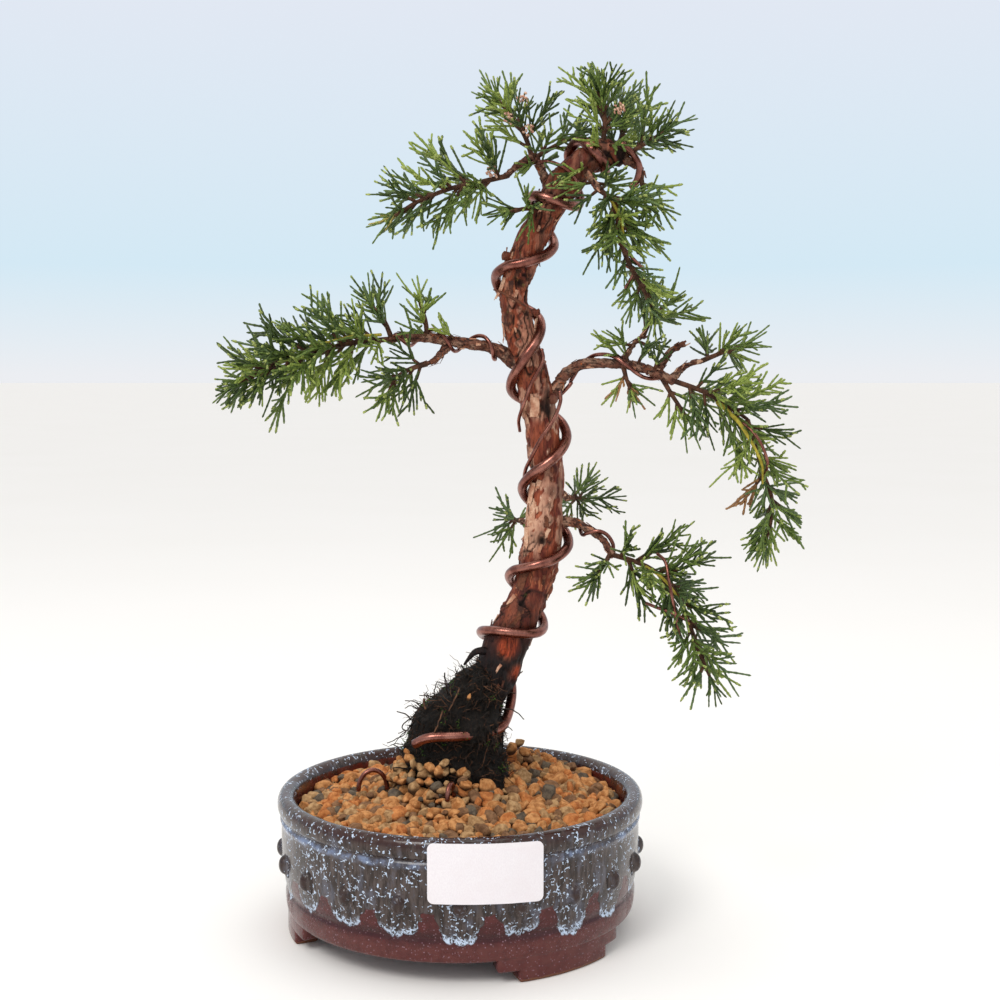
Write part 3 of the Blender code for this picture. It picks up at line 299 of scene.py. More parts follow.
# Foliage, as in the part's source
STEM_RADII = (1.15, 0.75)
FROND_ANGLE = math.radians(62)
FROND_CORE = 1.0
FROND_SHARES = (1.0, 0.8, 0.6, 0.42)
SHOOT_ANGLE = math.radians(38)
SHOOT_LENGTH = 13.0
SHOOT_WIDTH = 1.2
SHOOT_GAP = 8.0
MASSES = {  # stem, reach of the fronds at its start, middle and end, lift, spacing
    "foliage_left_outer": (
        ((-25.1, -9, 220), (-39, -13, 218.4), (-52.5, -17, 215), (-66, -21, 210.5), (-75, -23, 205.5)),
        (18, 25, 12), 0.0, 3.9,
    ),
    "foliage_left_top": (((-24.4, -9, 220), (-27, -10, 226.5), (-31, -10, 231.5)), (12, 12, 7), 0.3, 4.2),
    "foliage_left_inner": (((-11.6, -5.5, 220.6), (-12.3, -7, 227), (-13.8, -8, 232)), (7, 8, 6), 0.4, 5.5),
    "foliage_left_hanging": (
        ((-11.7, -8, 211), (-17.5, -10.5, 209.2), (-22.5, -12.5, 206.0), (-24.5, -14, 202.5)),
        (15, 16, 8), -0.3, 3.8,
    ),
    "foliage_top_low": (
        ((17.5, -7, 278.8), (7.8, -10, 276.2), (-3, -13, 273.5), (-14.3, -16, 268.6), (-20.5, -18, 264.6)),
        (20, 21, 9), 0.05, 4.0,
    ),
    "foliage_top_high": (
        ((26.6, -3, 286.4), (24.1, -3, 293.5), (20.1, -4, 299.5), (16.5, -5, 303.5)),
        (18, 20, 10), 0.15, 4.0,
    ),
    "foliage_top_inner": (((27.2, -2.6, 285.6), (34.5, 0, 290.2), (40.7, 2, 293.7)), (9, 11, 8), 0.3, 4.8),
    "foliage_trunk_sprig": (((31.8, -4, 267.4), (25, -8.5, 267), (20, -11, 266)), (7, 9, 6), 0.0, 5.0),
    "foliage_apex_top": (
        ((51.7, -7.8, 286.4), (52.6, -9, 295), (52.4, -9, 301.5), (50.8, -9, 306.5)),
        (18, 20, 10), 0.3, 3.6,
    ),
    "foliage_apex_right": (((59, -9, 285), (65, -11.6, 288.4), (71, -14, 291.9)), (16, 17, 10), 0.1, 3.6),
    "foliage_apex_back": (((56.0, -8.4, 286), (59.5, 6, 294), (62, 15, 299)), (14, 17, 10), 0.25, 4.2),
    "foliage_droop_upper": (
        ((50.5, -18, 272.3), (54.6, -22, 268.4), (56.6, -25, 261), (57.0, -26, 254.8)),
        (20, 20, 14), -0.05, 3.0,
    ),
    "foliage_droop_side": (
        ((65.6, -12, 277.4), (66.2, -14, 273.0), (66.6, -15, 269.6)),
        (14, 13, 9), -0.1, 4.0,
    ),
    "foliage_droop_lower": (
        ((57, -26, 254.6), (60.6, -23.5, 246), (65.4, -20, 238.4), (68.2, -19, 233)),
        (9, 13, 9), -0.1, 4.4,
    ),
    "foliage_right_inner": (
        ((68.3, 4, 221.5), (70.4, 5, 226), (72.4, 6, 229.6), (75.0, 7, 231.6)),
        (20, 19, 8), 0.1, 3.8,
    ),
    "foliage_right_top": (((89.9, 1, 212.2), (96.5, 3, 214.8), (102, 4, 216.6)), (14, 14, 8), 0.15, 4.2),
    "foliage_right_main": (
        ((78.9, -5, 204.8), (89.2, -8, 201), (98, -10, 195.9), (105, -12, 190.9)),
        (19, 26, 17), 0.0, 3.6,
    ),
    "foliage_right_under": (((73.9, -4, 207), (78.2, -6, 199.5), (82, -6, 194)), (9, 11, 8), -0.3, 4.8),
    "foliage_right_near": (((60.5, 0, 211), (61.4, -2, 206.5), (62.5, -3, 203)), (7, 9, 6), -0.4, 5.0),
    "foliage_right_lower": (
        ((104.9, -12, 190.7), (108, -13, 181), (109.8, -14, 173)),
        (17, 20, 13), -0.15, 3.9,
    ),
    "foliage_right_tip": (
        ((109.8, -14, 172.7), (113.6, -14, 163), (113.8, -14, 155), (112.6, -14, 149.5)),
        (13, 17, 9), -0.2, 4.0,
    ),
    "foliage_lower_main": (
        ((56.7, -8, 140.8), (63.4, -12, 139.2), (70.4, -15, 136.4), (76.2, -18, 131.6), (80, -20, 127)),
        (17, 27, 16), 0.1, 3.6,
    ),
    "foliage_lower_inner": (
        ((56, -7.2, 141.6), (53.2, -11.5, 137.6), (51.5, -14.5, 135.5)),
        (10, 12, 8), -0.2, 4.4,
    ),
    "foliage_lower_tip": (
        ((80, -20, 126.8), (83.8, -22, 116), (87.2, -23, 107), (89.8, -24, 100.5)),
        (17, 19, 8), -0.05, 3.9,
    ),
    "foliage_back_right": (((42.2, 40, 158), (45.5, 47.5, 157.5), (48, 54, 156)), (16, 18, 9), 0.03, 4.0),
    "foliage_back_left": (((23.3, 36, 149.1), (20.9, 43, 148.8), (19.4, 48, 148.6)), (11, 14, 8), 0.0, 4.4),
}


# Routes and meshes


def place(points):
    """Millimetres from the pot's axis to metres in the frame of the solids."""
    return (np.asarray(points, float).reshape(-1, 3) + np.array(MIDDLE)) * MM


def smooth_route(points, step):
    """Points (with any further values, such as a radius) along a smooth curve through these."""
    knots = np.array(points, float)
    knots = np.vstack([2 * knots[0] - knots[1], knots, 2 * knots[-1] - knots[-2]])
    route = []
    for a, b, c, d in zip(knots, knots[1:], knots[2:], knots[3:]):
        pieces = max(1, round(float(np.linalg.norm((c - b)[:3])) / step))
        for k in range(pieces):
            t = k / pieces
            bend = (2 * a - 5 * b + 4 * c - d) * t + (3 * b - a - 3 * c + d) * t * t
            route.append(b + 0.5 * t * ((c - a) + bend))
    route.append(knots[-2])
    return np.array(route)


def frames(route):
    """Unit vectors along and across a route, turning no more than the route does."""
    points = [Vector(p[:3]) for p in route]
    along = []
    for i in range(len(points)):
        ahead = points[min(i + 1, len(points) - 1)] - points[max(i - 1, 0)]
        along.append(ahead.normalized())
    side = along[0].cross(Vector((0, 1, 0)))
    if side.length < 0.1:
        side = along[0].cross(Vector((1, 0, 0)))
    side.normalize()
    sides = [side]
    for before, after in zip(along, along[1:]):
        sides.append(before.rotation_difference(after) @ sides[-1])
    return along, sides, [a.cross(s) for a, s in zip(along, sides)]


def distances(points):
    """How far along a row of points each of them lies."""
    return np.concatenate([[0], np.cumsum(np.linalg.norm(np.diff(points, axis=0), axis=1))])


def round_way(across, upward, angle):
    """The way that lies at this angle round a course."""
    return across * math.cos(angle) + upward * math.sin(angle)


def scatter(chance, most):
    """A random move, up to this far along each axis."""
    return Vector([chance.uniform(-most, most) for _ in range(3)])


def by_height(at, heights, values):
    return float(np.interp(at.z, heights, values))


def ease(low, high, value):
    """0 below low, 1 above high, and smooth between."""
    share = np.clip((value - low) / (high - low), 0, 1)
    return share * share * (3 - 2 * share)


class Heap:
    """Points and four-cornered faces of many small things, joined into one mesh."""

    def __init__(self):
        self.points, self.faces, self.count = [], [], 0

    def add(self, points, faces):
        points = np.asarray(points, float).reshape(-1, 3)
        self.points.append(points)
        self.faces.append(np.asarray(faces, int).reshape(-1, 4) + self.count)
        self.count += len(points)

    def build(self, name):
        """The mesh as an object. A face whose last corner repeats its third is a triangle."""
        points = place(np.vstack(self.points))
        faces = np.vstack(self.faces)
        corners = np.where(faces[:, 2] == faces[:, 3], 3, 4)
        keep = np.ones(faces.shape, bool)
        keep[corners == 3, 3] = False
        mesh = bpy.data.meshes.new(name)
        mesh.vertices.add(len(points))
        mesh.vertices.foreach_set("co", points.ravel())
        mesh.loops.add(int(corners.sum()))
        mesh.loops.foreach_set("vertex_index", faces[keep])
        mesh.polygons.add(len(faces))
        starts = np.concatenate([[0], np.cumsum(corners)[:-1]])
        mesh.polygons.foreach_set("loop_start", starts)
        mesh.update(calc_edges=True)
        mesh.shade_smooth()
        made = bpy.data.objects.new(name, mesh)
        bpy.context.scene.collection.objects.link(made)
        return made


def grid_faces(rows, columns, start=0, closed=True):
    """Faces between rows of points, each row a closed ring or an open strip."""
    i = np.arange(rows - 1)[:, None]
    k = np.arange(columns if closed else columns - 1)[None, :]
    after = (k + 1) % columns
    faces = [i * columns + k, i * columns + after, (i + 1) * columns + after, (i + 1) * columns + k]
    return start + np.stack(np.broadcast_arrays(*faces), -1).reshape(-1, 4)


def tube(route, sides, relief=None, cap=0.35):
    """Points and faces of a tube round a route of x, y, z, radius, with rounded ends."""
    along, across, upward = (np.array(v) for v in frames(route))
    centres, radii = route[:, :3], route[:, 3].copy()
    first, last = centres[0] - along[0] * radii[0] * cap, centres[-1] + along[-1] * radii[-1] * cap
    turns = np.arange(sides) * math.tau / sides
    ways = across[:, None] * np.cos(turns)[None, :, None] + upward[:, None] * np.sin(turns)[None, :, None]
    points = centres[:, None] + ways * radii[:, None, None]
    if relief is not None:
        points = relief(points, ways)
    inner = [first + (points[0] - centres[0]) * 0.55, last + (points[-1] - centres[-1]) * 0.55]
    rings = np.vstack([inner[0][None], points, inner[1][None]])
    count = len(rings) * sides
    body = grid_faces(len(rings), sides)
    poles = np.array([first, last])
    k = np.arange(sides)
    after = (k + 1) % sides
    start = np.stack([np.full(sides, count), after, k, k], 1)
    next_last = count - sides + after
    end = np.stack([np.full(sides, count + 1), count - sides + k, next_last, next_last], 1)
    return np.vstack([rings.reshape(-1, 3), poles]), np.vstack([body, start, end])


# Finishes


def paint(red, green, blue):
    """A colour as mixed on screen (0 to 255) in the linear values that a shader takes."""
    share = np.array((red, green, blue)) / 255
    linear = np.where(share <= 0.04045, share / 12.92, ((share + 0.055) / 1.055) ** 2.4)
    return (*(float(v) for v in linear), 1.0)


class Finish:
    """A material built node by node. Patterns sit on the object, in millimetres from the pot's axis."""

    def __init__(self, name, **settings):
        self.made = bpy.data.materials.new(name)
        self.made.use_nodes = True
        self.tree = self.made.node_tree
        self.surface = self.tree.nodes["Principled BSDF"]
        for socket, value in settings.items():
            self.surface.inputs[socket.replace("_", " ")].default_value = value
        self.spots = {}

    def add(self, kind, **values):
        made = self.tree.nodes.new("ShaderNode" + kind)
        for name, value in values.items():
            setattr(made, name, value)
        return made

    def join(self, value, socket):
        """Gives an input a number, a colour or another node's output."""
        if isinstance(value, bpy.types.NodeSocket):
            self.tree.links.new(value, socket)
        else:
            socket.default_value = value

    def spot(self, stretch=(1, 1, 1)):
        """Where a point is, in millimetres, shrunk by these amounts along X, Y and Z."""
        if stretch not in self.spots:
            mapping = self.add("Mapping")
            self.join(self.add("TexCoord").outputs["Object"], mapping.inputs["Vector"])
            mapping.inputs["Scale"].default_value = [s / MM for s in stretch]
            mapping.inputs["Location"].default_value = [-m * s for m, s in zip(MIDDLE, stretch)]
            self.spots[stretch] = mapping.outputs["Vector"]
        return self.spots[stretch]

    def noise(self, size, detail=3.0, roughness=0.5, stretch=(1, 1, 1), distortion=0.0, shift=0.0):
        made = self.add("TexNoise", noise_dimensions="4D")
        self.join(self.spot(stretch), made.inputs["Vector"])
        for name, value in (("Scale", 1 / size), ("Detail", detail), ("Roughness", roughness),
                            ("Distortion", distortion), ("W", shift)):
            made.inputs[name].default_value = value
        return made.outputs["Fac"]

    def cells(self, size, feature="F1", stretch=(1, 1, 1), warp=0.0):
        made = self.add("TexVoronoi", feature=feature)
        spot = self.spot(stretch)
        if warp:
            wobble = self.add("TexNoise")
            self.join(spot, wobble.inputs["Vector"])
            wobble.inputs["Scale"].default_value = 1 / size
            moved = self.add("VectorMath", operation="MULTIPLY_ADD")
            self.join(wobble.outputs["Color"], moved.inputs[0])
            moved.inputs[1].default_value = (warp,) * 3
            self.join(spot, moved.inputs[2])
            spot = moved.outputs["Vector"]
        self.join(spot, made.inputs["Vector"])
        made.inputs["Scale"].default_value = 1 / size
        return made.outputs["Distance"]

    def sum(self, operation, first, second=0.0, third=0.0):
        made = self.add("Math", operation=operation)
        for value, socket in zip((first, second, third), made.inputs):
            self.join(value, socket)
        return made.outputs["Value"]

    def plus(self, first, second):
        return self.sum("ADD", first, second)

    def less(self, first, second):
        return self.sum("SUBTRACT", first, second)

    def times(self, first, second):
        return self.sum("MULTIPLY", first, second)

    def most(self, *values):
        """The largest of these values."""
        return reduce(lambda first, second: self.sum("MAXIMUM", first, second), values)

    def hump(self, value, middle, width):
        """1 at the middle and 0 this far to each side of it, below zero beyond."""
        off = self.sum("DIVIDE", self.less(value, middle), width)
        return self.less(1.0, self.times(off, off))

    def between(self, value, rise, fall):
        """1 between two soft edges and 0 outside them."""
        return self.times(self.range(value, *rise), self.range(value, *fall))

    def range(self, value, low, high, start=0.0, end=1.0, smooth=True):
        """The value's place between low and high, from start to end."""
        made = self.add("MapRange", interpolation_type="SMOOTHSTEP" if smooth else "LINEAR", clamp=True)
        for number, socket in zip((value, low, high, start, end), made.inputs):
            self.join(number, socket)
        return made.outputs["Result"]

    def mix(self, share, first, second):
        made = self.add("Mix", data_type="RGBA")
        self.join(share, made.inputs["Factor"])
        colours = [s for s in made.inputs if s.type == "RGBA"]
        self.join(first, colours[0])
        self.join(second, colours[1])
        return next(s for s in made.outputs if s.type == "RGBA")

    def blend(self, value, low, high, first, second):
        """One colour on screen where the value is low, and another where it is high."""
        return self.mix(self.range(value, low, high), paint(*first), paint(*second))

    def over(self, below, colour, value, low, high, most=1.0):
        """A colour on screen over the ones below where the value is high, at most this much."""
        return self.mix(self.range(value, low, high, 0.0, most), below, paint(*colour))

    def split(self):
        made = self.add("SeparateXYZ")
        self.join(self.spot(), made.inputs[0])
        return made.outputs

    def tone(self, name):
        """The three channels of one of the piece's own colour attributes."""
        read = self.add("Attribute", attribute_name=name)
        made = self.add("SeparateColor")
        self.join(read.outputs["Color"], made.inputs[0])
        return made.outputs

    def bump(self, height, depth):
        """Relief of this depth in millimetres; each call adds to the last."""
        made = self.add("Bump")
        made.inputs["Strength"].default_value = 1.0
        made.inputs["Distance"].default_value = depth * MM
        self.join(height, made.inputs["Height"])
        old = self.surface.inputs["Normal"]
        if old.is_linked:
            self.join(old.links[0].from_socket, made.inputs["Normal"])
        self.join(made.outputs["Normal"], old)

    def set(self, **sockets):
        for name, value in sockets.items():
            self.join(value, self.surface.inputs[name.replace("_", " ")])
        return self.made


def glaze_finish():
    """Dark crystal glaze that has run down over an oxblood one, and bare clay under the feet."""
    f = Finish("glaze", Roughness=0.2, Specular_IOR_Level=0.3, Coat_Weight=0.18, Coat_Roughness=0.06)
    x, y, z = f.split()
    turn = f.less(f.sum("ARCTAN2", x, f.times(y, -1.0)), STUD_TURN)
    stud_turn = f.sum("MULTIPLY_ADD", turn, STUDS / math.tau, 0.5)
    period = f.plus(stud_turn, f.range(f.noise(6.0, 2.0), 0.0, 1.0, -0.18, 0.18, smooth=False))
    across = f.less(f.sum("FRACT", period), 0.5)
    which = f.add("TexWhiteNoise", noise_dimensions="1D")
    f.join(f.sum("FLOOR", period), which.inputs["W"])
    lobes = [f.hump(across, side, width) for side, width in ((-0.19, 0.13), (0.02, 0.12), (0.2, 0.13))]
    lobe = f.most(*lobes, 0.0)
    tongue = f.most(f.hump(across, 0.0, 0.40), 0.0)
    deep = f.range(which.outputs["Value"], 0.0, 1.0, 6.0, 10.0, smooth=False)
    hang = f.times(f.sum("POWER", tongue, 0.6), deep)
    hang = f.plus(hang, f.times(f.sum("POWER", lobe, 0.6), 2.6))
    arch = f.sum("MULTIPLY_ADD", f.noise(9.0, 2.0, shift=3.0), 6.0, 23.0)
    above = f.less(z, f.less(arch, hang))
    over = f.range(above, -0.35, 0.35)
    tips = f.times(f.range(above, 3.2, 0.3), f.range(tongue, 0.3, 0.8))

    streak = f.noise(1.5, 4.0, 0.62, (1, 1, 0.16))
    mottle = f.noise(5.5, 4.0, 0.62, (1, 1, 0.5), shift=2.0)
    fine = f.noise(0.6, 3.0, 0.6, (1, 1, 0.4), shift=5.0)
    upper = f.blend(streak, 0.40, 0.62, (36, 23, 17), (76, 64, 60))
    upper = f.over(upper, (90, 92, 106), mottle, 0.50, 0.64, 0.55)
    upper = f.over(upper, (28, 19, 18), fine, 0.54, 0.70, 0.5)
    ridge = f.between(z, (40.6, 42.2), (44.4, 43.2))
    pale = f.times(ridge, f.range(f.noise(5.0, 3.0, 0.6, shift=8.0), 0.42, 0.62, 0.1, 0.8))
    upper = f.mix(pale, upper, paint(124, 140, 172))
    worn = f.range(f.noise(4.0, 3.0, 0.6, shift=1.5), 0.38, 0.54, 0.0, 0.95)
    upper = f.mix(f.times(f.range(z, 46.5, 50.5), worn), upper, paint(50, 22, 17))
    stud_away = f.sum("ABSOLUTE", f.less(f.sum("FRACT", stud_turn), 0.5))
    stud_up = f.sum("ABSOLUTE", f.less(z, STUD_HEIGHT + 0.4))
    round_off = f.sum("POWER", f.times(stud_away, 8.6), 2.0)
    near = f.plus(round_off, f.sum("POWER", f.times(stud_up, 0.30), 2.0))
    bare = f.range(f.noise(1.6, 3.0, shift=6.0), 0.35, 0.60, 0.55, 1.0)
    upper = f.mix(f.times(f.range(near, 1.15, 0.35), bare), upper, paint(44, 23, 17))

    often = f.range(f.noise(8.0, 2.0, shift=9.0), 0.3, 0.7, -0.02, 0.05)
    often = f.plus(often, f.times(tips, 0.2))
    fleck = 0.0
    for size, stretch, part in ((3.0, (1, 1, 1.4), 4.0), (2.3, (1, 1, 0.6), 21.0)):
        lines = f.cells(size, "DISTANCE_TO_EDGE", stretch=stretch, warp=2.4)
        broken = f.plus(f.noise(1.5, 2.0, 0.5, shift=part), often)
        squiggle = f.times(f.range(lines, 0.075, 0.035), f.range(broken, 0.60, 0.635))
        fleck = f.most(fleck, squiggle)
    crust = f.times(tips, f.range(f.noise(0.8, 2.0, shift=7.0), 0.44, 0.56))
    fleck = f.times(f.most(fleck, crust), f.range(z, 9.0, 12.0))
    fleck = f.times(fleck, f.range(near, 0.9, 1.2, 0.12, 1.0))
    upper = f.mix(f.times(fleck, 0.92), upper, paint(198, 214, 236))

    cloud = f.range(f.noise(4.0, 3.0, 0.6, shift=11.0), 0.35, 0.65)
    lower = f.mix(cloud, paint(62, 12, 12), paint(80, 25, 24))
    band = f.between(z, (14.8, 16.2), (20.5, 17.6))
    lower = f.mix(f.times(band, 0.85), lower, paint(50, 6, 10))
    dusty = f.range(f.noise(3.0, 3.0, shift=17.0), 0.35, 0.6, 0.4, 1.0)
    lower = f.mix(f.times(f.range(z, 15.0, 13.0), dusty), lower, paint(88, 38, 34))
    specks = f.range(f.cells(1.1), 0.26, 0.14)
    specks = f.times(specks, f.range(f.noise(3.0, 2.0, shift=12.0), 0.4, 0.6, 0.25, 0.65))
    lower = f.mix(specks, lower, paint(160, 126, 138))

    from_axis = f.sum("SQRT", f.plus(f.times(x, x), f.times(y, y)))
    inside = f.sum("LESS_THAN", from_axis, 62.0)
    wall = f.mix(f.range(f.noise(3.0, 3.0, shift=13.0), 0.4, 0.65), paint(96, 40, 30), paint(58, 34, 30))
    colour = f.mix(over, lower, upper)
    colour = f.mix(inside, colour, wall)
    clay = f.range(f.plus(z, f.noise(2.0, 2.0, shift=14.0)), 1.9, 1.3)
    colour = f.mix(clay, colour, f.mix(f.noise(0.6, 3.0), paint(120, 74, 48), paint(96, 56, 38)))
    f.bump(f.noise(3.2, 2.0, shift=15.0), 0.16)
    f.bump(f.range(above, -0.6, 0.9), 0.34)
    f.bump(fleck, 0.05)
    rough = f.range(f.noise(1.4, 3.0, shift=16.0), 0.3, 0.7, 0.14, 0.28)
    rough = f.plus(f.times(fleck, 0.25), rough)
    return f.set(Base_Color=colour, Roughness=f.most(rough, f.times(clay, 0.8)))


def paper_finish():
    """Plain white sticker paper: a faint weave of fibres and a soft sheen."""
    f = Finish("paper", Roughness=0.45)
    fibres = f.noise(0.35, 4.0, 0.7, (1, 1, 0.5))
    cloud = f.noise(9.0, 2.0)
    colour = f.blend(fibres, 0.35, 0.7, (226, 219, 222), (234, 229, 231))
    colour = f.over(colour, (224, 214, 216), cloud, 0.4, 0.7, 0.35)
    f.bump(fibres, 0.02)
    f.bump(cloud, 0.12)
    return f.set(Base_Color=colour, Roughness=f.range(fibres, 0.3, 0.7, 0.4, 0.52))


def stone_finish(name, dark, light, speck):
    """Dusty pumice and baked clay: grainy, pitted and a little darker in the pits, with painted shade on each stone's
    lower side.
    """
    f = Finish(name, Roughness=0.9, Specular_IOR_Level=0.15)
    cloud = f.noise(2.2, 3.0, 0.6)
    grain = f.noise(0.42, 4.0, 0.7, shift=3.0)
    pits = f.cells(0.8, warp=0.6)
    colour = f.mix(f.range(cloud, 0.34, 0.66), dark, light)
    colour = f.mix(f.range(grain, 0.52, 0.75, 0.0, 0.55), colour, speck)
    colour = f.over(colour, (66, 42, 26), pits, 0.22, 0.05, 0.6)
    # painted shade: each stone darker towards its bottom, where it sinks among the others
    colour = f.mix(f.range(f.tone("stone_shade_height")[0], 0.62, 0.22, 0.0, 0.9), colour, paint(38, 22, 14))
    f.bump(grain, 0.2)
    f.bump(f.range(pits, 0.05, 0.4), 0.12)
    f.bump(cloud, 0.3)
    return f.set(Base_Color=colour, Roughness=f.range(grain, 0.3, 0.7, 0.8, 0.97))


def bed_finish():
    f = Finish("dark_bed", Roughness=0.95, Specular_IOR_Level=0.1)
    grit = f.noise(1.1, 4.0, 0.7)
    # dark grit, made darker still as painted shade between the stones
    colour = f.blend(grit, 0.35, 0.7, (26, 17, 12), (70, 44, 26))
    f.bump(grit, 0.6)
    return f.set(Base_Color=colour)


def root_finish():
    """Matted roots: nearly black, with brown threads and green moss in places."""
    f = Finish("root_felt", Roughness=0.9, Specular_IOR_Level=0.25)
    strands = f.noise(0.5, 5.0, 0.75, (1, 1, 0.35), 1.2)
    clumps = f.noise(3.6, 4.0, 0.65, shift=2.0)
    colour = f.blend(strands, 0.44, 0.72, (6, 5, 5), (60, 48, 38))
    colour = f.over(colour, (64, 66, 30), clumps, 0.64, 0.74, 0.8)
    colour = f.over(colour, (74, 46, 36), clumps, 0.32, 0.24, 0.8)
    f.bump(strands, 1.1)
    f.bump(clumps, 1.5)
    return f.set(Base_Color=colour, Roughness=f.range(strands, 0.3, 0.7, 0.35, 0.85))


def thread_finish(name, dark, light):
    """Hair roots, moss, cones and young stems: one colour, lighter and darker in patches."""
    f = Finish(name, Roughness=0.75, Specular_IOR_Level=0.25)
    run = f.noise(1.6, 3.0, 0.6)
    f.bump(f.noise(0.3, 2.0), 0.05)
    colour = f.mix(f.range(run, 0.36, 0.66), dark, light)
    return f.set(Base_Color=colour, Roughness=f.range(run, 0.3, 0.7, 0.6, 0.9))


def bark_finish():
    """Red-brown bark: smooth orange skin under pale plates, with dark cracks between them; the same dark also paints
    shade in the knot holes and on the trunk's top under the foliage.
    """
    f = Finish("flaking_bark", Roughness=0.7, Specular_IOR_Level=0.2)
    # the crack channel also holds painted shade: the knot holes and the trunk's top under the foliage
    pale, crack, old = f.tone("bark_tone")
    fibre = f.noise(0.5, 5.0, 0.65, (1, 1, 0.10), 0.4)
    cloud = f.noise(4.5, 3.0, 0.6, (1, 1, 0.35), shift=2.0)
    fleck = f.noise(0.8, 3.0, 0.6, (1, 1, 0.35), shift=6.0)
    skin = f.blend(cloud, 0.36, 0.60, (98, 38, 27), (150, 76, 50))
    fresh = f.range(f.noise(2.6, 3.0, 0.6, (1, 1, 0.3), shift=5.0), 0.56, 0.68, 0.0, 0.85)
    skin = f.mix(fresh, skin, paint(176, 104, 70))
    skin = f.over(skin, (60, 24, 18), fibre, 0.47, 0.66, 0.85)
    plate = f.blend(cloud, 0.36, 0.62, (150, 98, 78), (198, 152, 126))
    plate = f.over(plate, (112, 64, 48), fibre, 0.50, 0.68, 0.75)
    plate = f.over(plate, (224, 196, 172), fleck, 0.60, 0.70, 0.8)
    glow = f.times(f.range(pale, -0.2, -0.9, 0.0, 0.9), f.range(cloud, 0.40, 0.56, 0.25, 1.0))
    skin = f.mix(glow, skin, f.blend(fibre, 0.45, 0.62, (172, 70, 36), (96, 32, 20)))
    colour = f.mix(pale, skin, plate)
    dark = f.blend(fibre, 0.42, 0.66, (20, 12, 10), (54, 33, 27))
    dark = f.mix(f.range(f.noise(2.6, 3.0, shift=9.0), 0.60, 0.70, 0.0, 0.6), dark, paint(98, 92, 48))
    colour = f.mix(crack, colour, dark)
    foot = f.blend(fibre, 0.45, 0.7, (15, 10, 10), (48, 29, 27))
    colour = f.mix(old, colour, foot)
    f.bump(fibre, 0.3)
    f.bump(fleck, 0.15)
    rough = f.range(fibre, 0.3, 0.7, 0.42, 0.75)
    return f.set(Base_Color=colour, Roughness=f.most(rough, f.times(crack, 0.9)))


def bough_finish():
    f = Finish("shaggy_bark", Roughness=0.75, Specular_IOR_Level=0.2)
    tone = f.tone("bark_tone")
    fibre = f.noise(0.4, 4.0, 0.65, (0.3, 1, 1), 0.5)
    cloud = f.noise(2.4, 3.0, 0.6, shift=4.0)
    colour = f.blend(cloud, 0.38, 0.62, (88, 50, 38), (128, 84, 66))
    colour = f.mix(f.times(tone[0], 0.6), colour, paint(166, 130, 108))
    colour = f.mix(f.range(f.noise(1.7, 2.0, shift=8.0), 0.62, 0.68), colour, paint(164, 88, 48))
    colour = f.over(colour, (42, 26, 20), fibre, 0.48, 0.66, 0.85)
    colour = f.mix(tone[1], colour, paint(38, 24, 20))
    f.bump(fibre, 0.3)
    return f.set(Base_Color=colour, Roughness=f.range(fibre, 0.3, 0.7, 0.55, 0.9))


def twig_finish(name, dark, light, grey):
    """Bark of loose flakes and of the twigs in the foliage, finely cracked."""
    f = Finish(name, Roughness=0.7, Specular_IOR_Level=0.2)
    fibre = f.noise(0.5, 4.0, 0.65, (0.6, 1, 1), 0.5)
    cloud = f.noise(3.2, 3.0, 0.6, shift=4.0)
    colour = f.mix(f.range(cloud, 0.38, 0.64), dark, light)
    colour = f.mix(f.range(fibre, 0.52, 0.72, 0.0, 0.7), colour, grey)
    f.bump(fibre, 0.3)
    return f.set(Base_Color=colour, Roughness=f.range(fibre, 0.3, 0.7, 0.55, 0.85))


def wire_finish():
    """Anodised wire: satin copper-brown with faint draw marks and a few rubbed places."""
    f = Finish("anodised_wire", Metallic=1.0, Roughness=0.34)
    cloud = f.noise(5.0, 3.0, 0.6)
    marks = f.noise(0.35, 3.0, 0.6, (1, 1, 0.3), shift=3.0)
    colour = f.blend(cloud, 0.38, 0.66, (112, 68, 59), (152, 102, 90))
    colour = f.over(colour, (60, 33, 28), marks, 0.56, 0.74, 0.5)
    f.bump(marks, 0.03)
    return f.set(Base_Color=colour, Roughness=f.range(marks, 0.3, 0.7, 0.20, 0.34))


def leaf_finish(name, colour, shade):
    """Scale leaves of one tint, with a fine darker grain."""
    f = Finish(name, Roughness=0.5, Specular_IOR_Level=0.3)
    grain = f.noise(0.9, 2.0, 0.6)
    f.bump(f.noise(0.45, 2.0, shift=3.0), 0.06)
    tint = f.mix(f.range(grain, 0.34, 0.66), shade, colour)
    return f.set(Base_Color=tint, Roughness=f.range(grain, 0.3, 0.7, 0.42, 0.6))


# Modelling by hand


def start_shape(add, **values):
    """Deselects everything, adds a primitive and returns it."""
    if bpy.context.mode != "OBJECT":
        bpy.ops.object.mode_set(mode="OBJECT")
    bpy.ops.object.select_all(action="DESELECT")
    add(**values)
    return bpy.context.object


def edit():
    bpy.ops.object.mode_set(mode="EDIT")


def leave():
    bpy.ops.object.mode_set(mode="OBJECT")


def whole(step, **values):
    """Takes one modelling step with all of the shape, in edit mode."""
    bpy.ops.mesh.select_all(action="SELECT")
    step(**values)


def close_up(merge=None):
    """Merges points that lie together, turns all faces outwards and leaves edit mode."""
    if merge:
        whole(bpy.ops.mesh.remove_doubles, threshold=merge * MM)
    whole(bpy.ops.mesh.normals_make_consistent, inside=False)
    leave()


def pick(shape, kind, test):
    """Selects only the faces, edges or points that pass the test, in edit mode."""
    leave()
    mesh = shape.data
    for group in (mesh.vertices, mesh.edges, mesh.polygons):
        group.foreach_set("select", [False] * len(group))
    chosen = {"VERT": mesh.vertices, "EDGE": mesh.edges, "FACE": mesh.polygons}[kind]
    for one in chosen:
        one.select = bool(test(one))
    edit()
    bpy.ops.mesh.select_mode(type=kind)


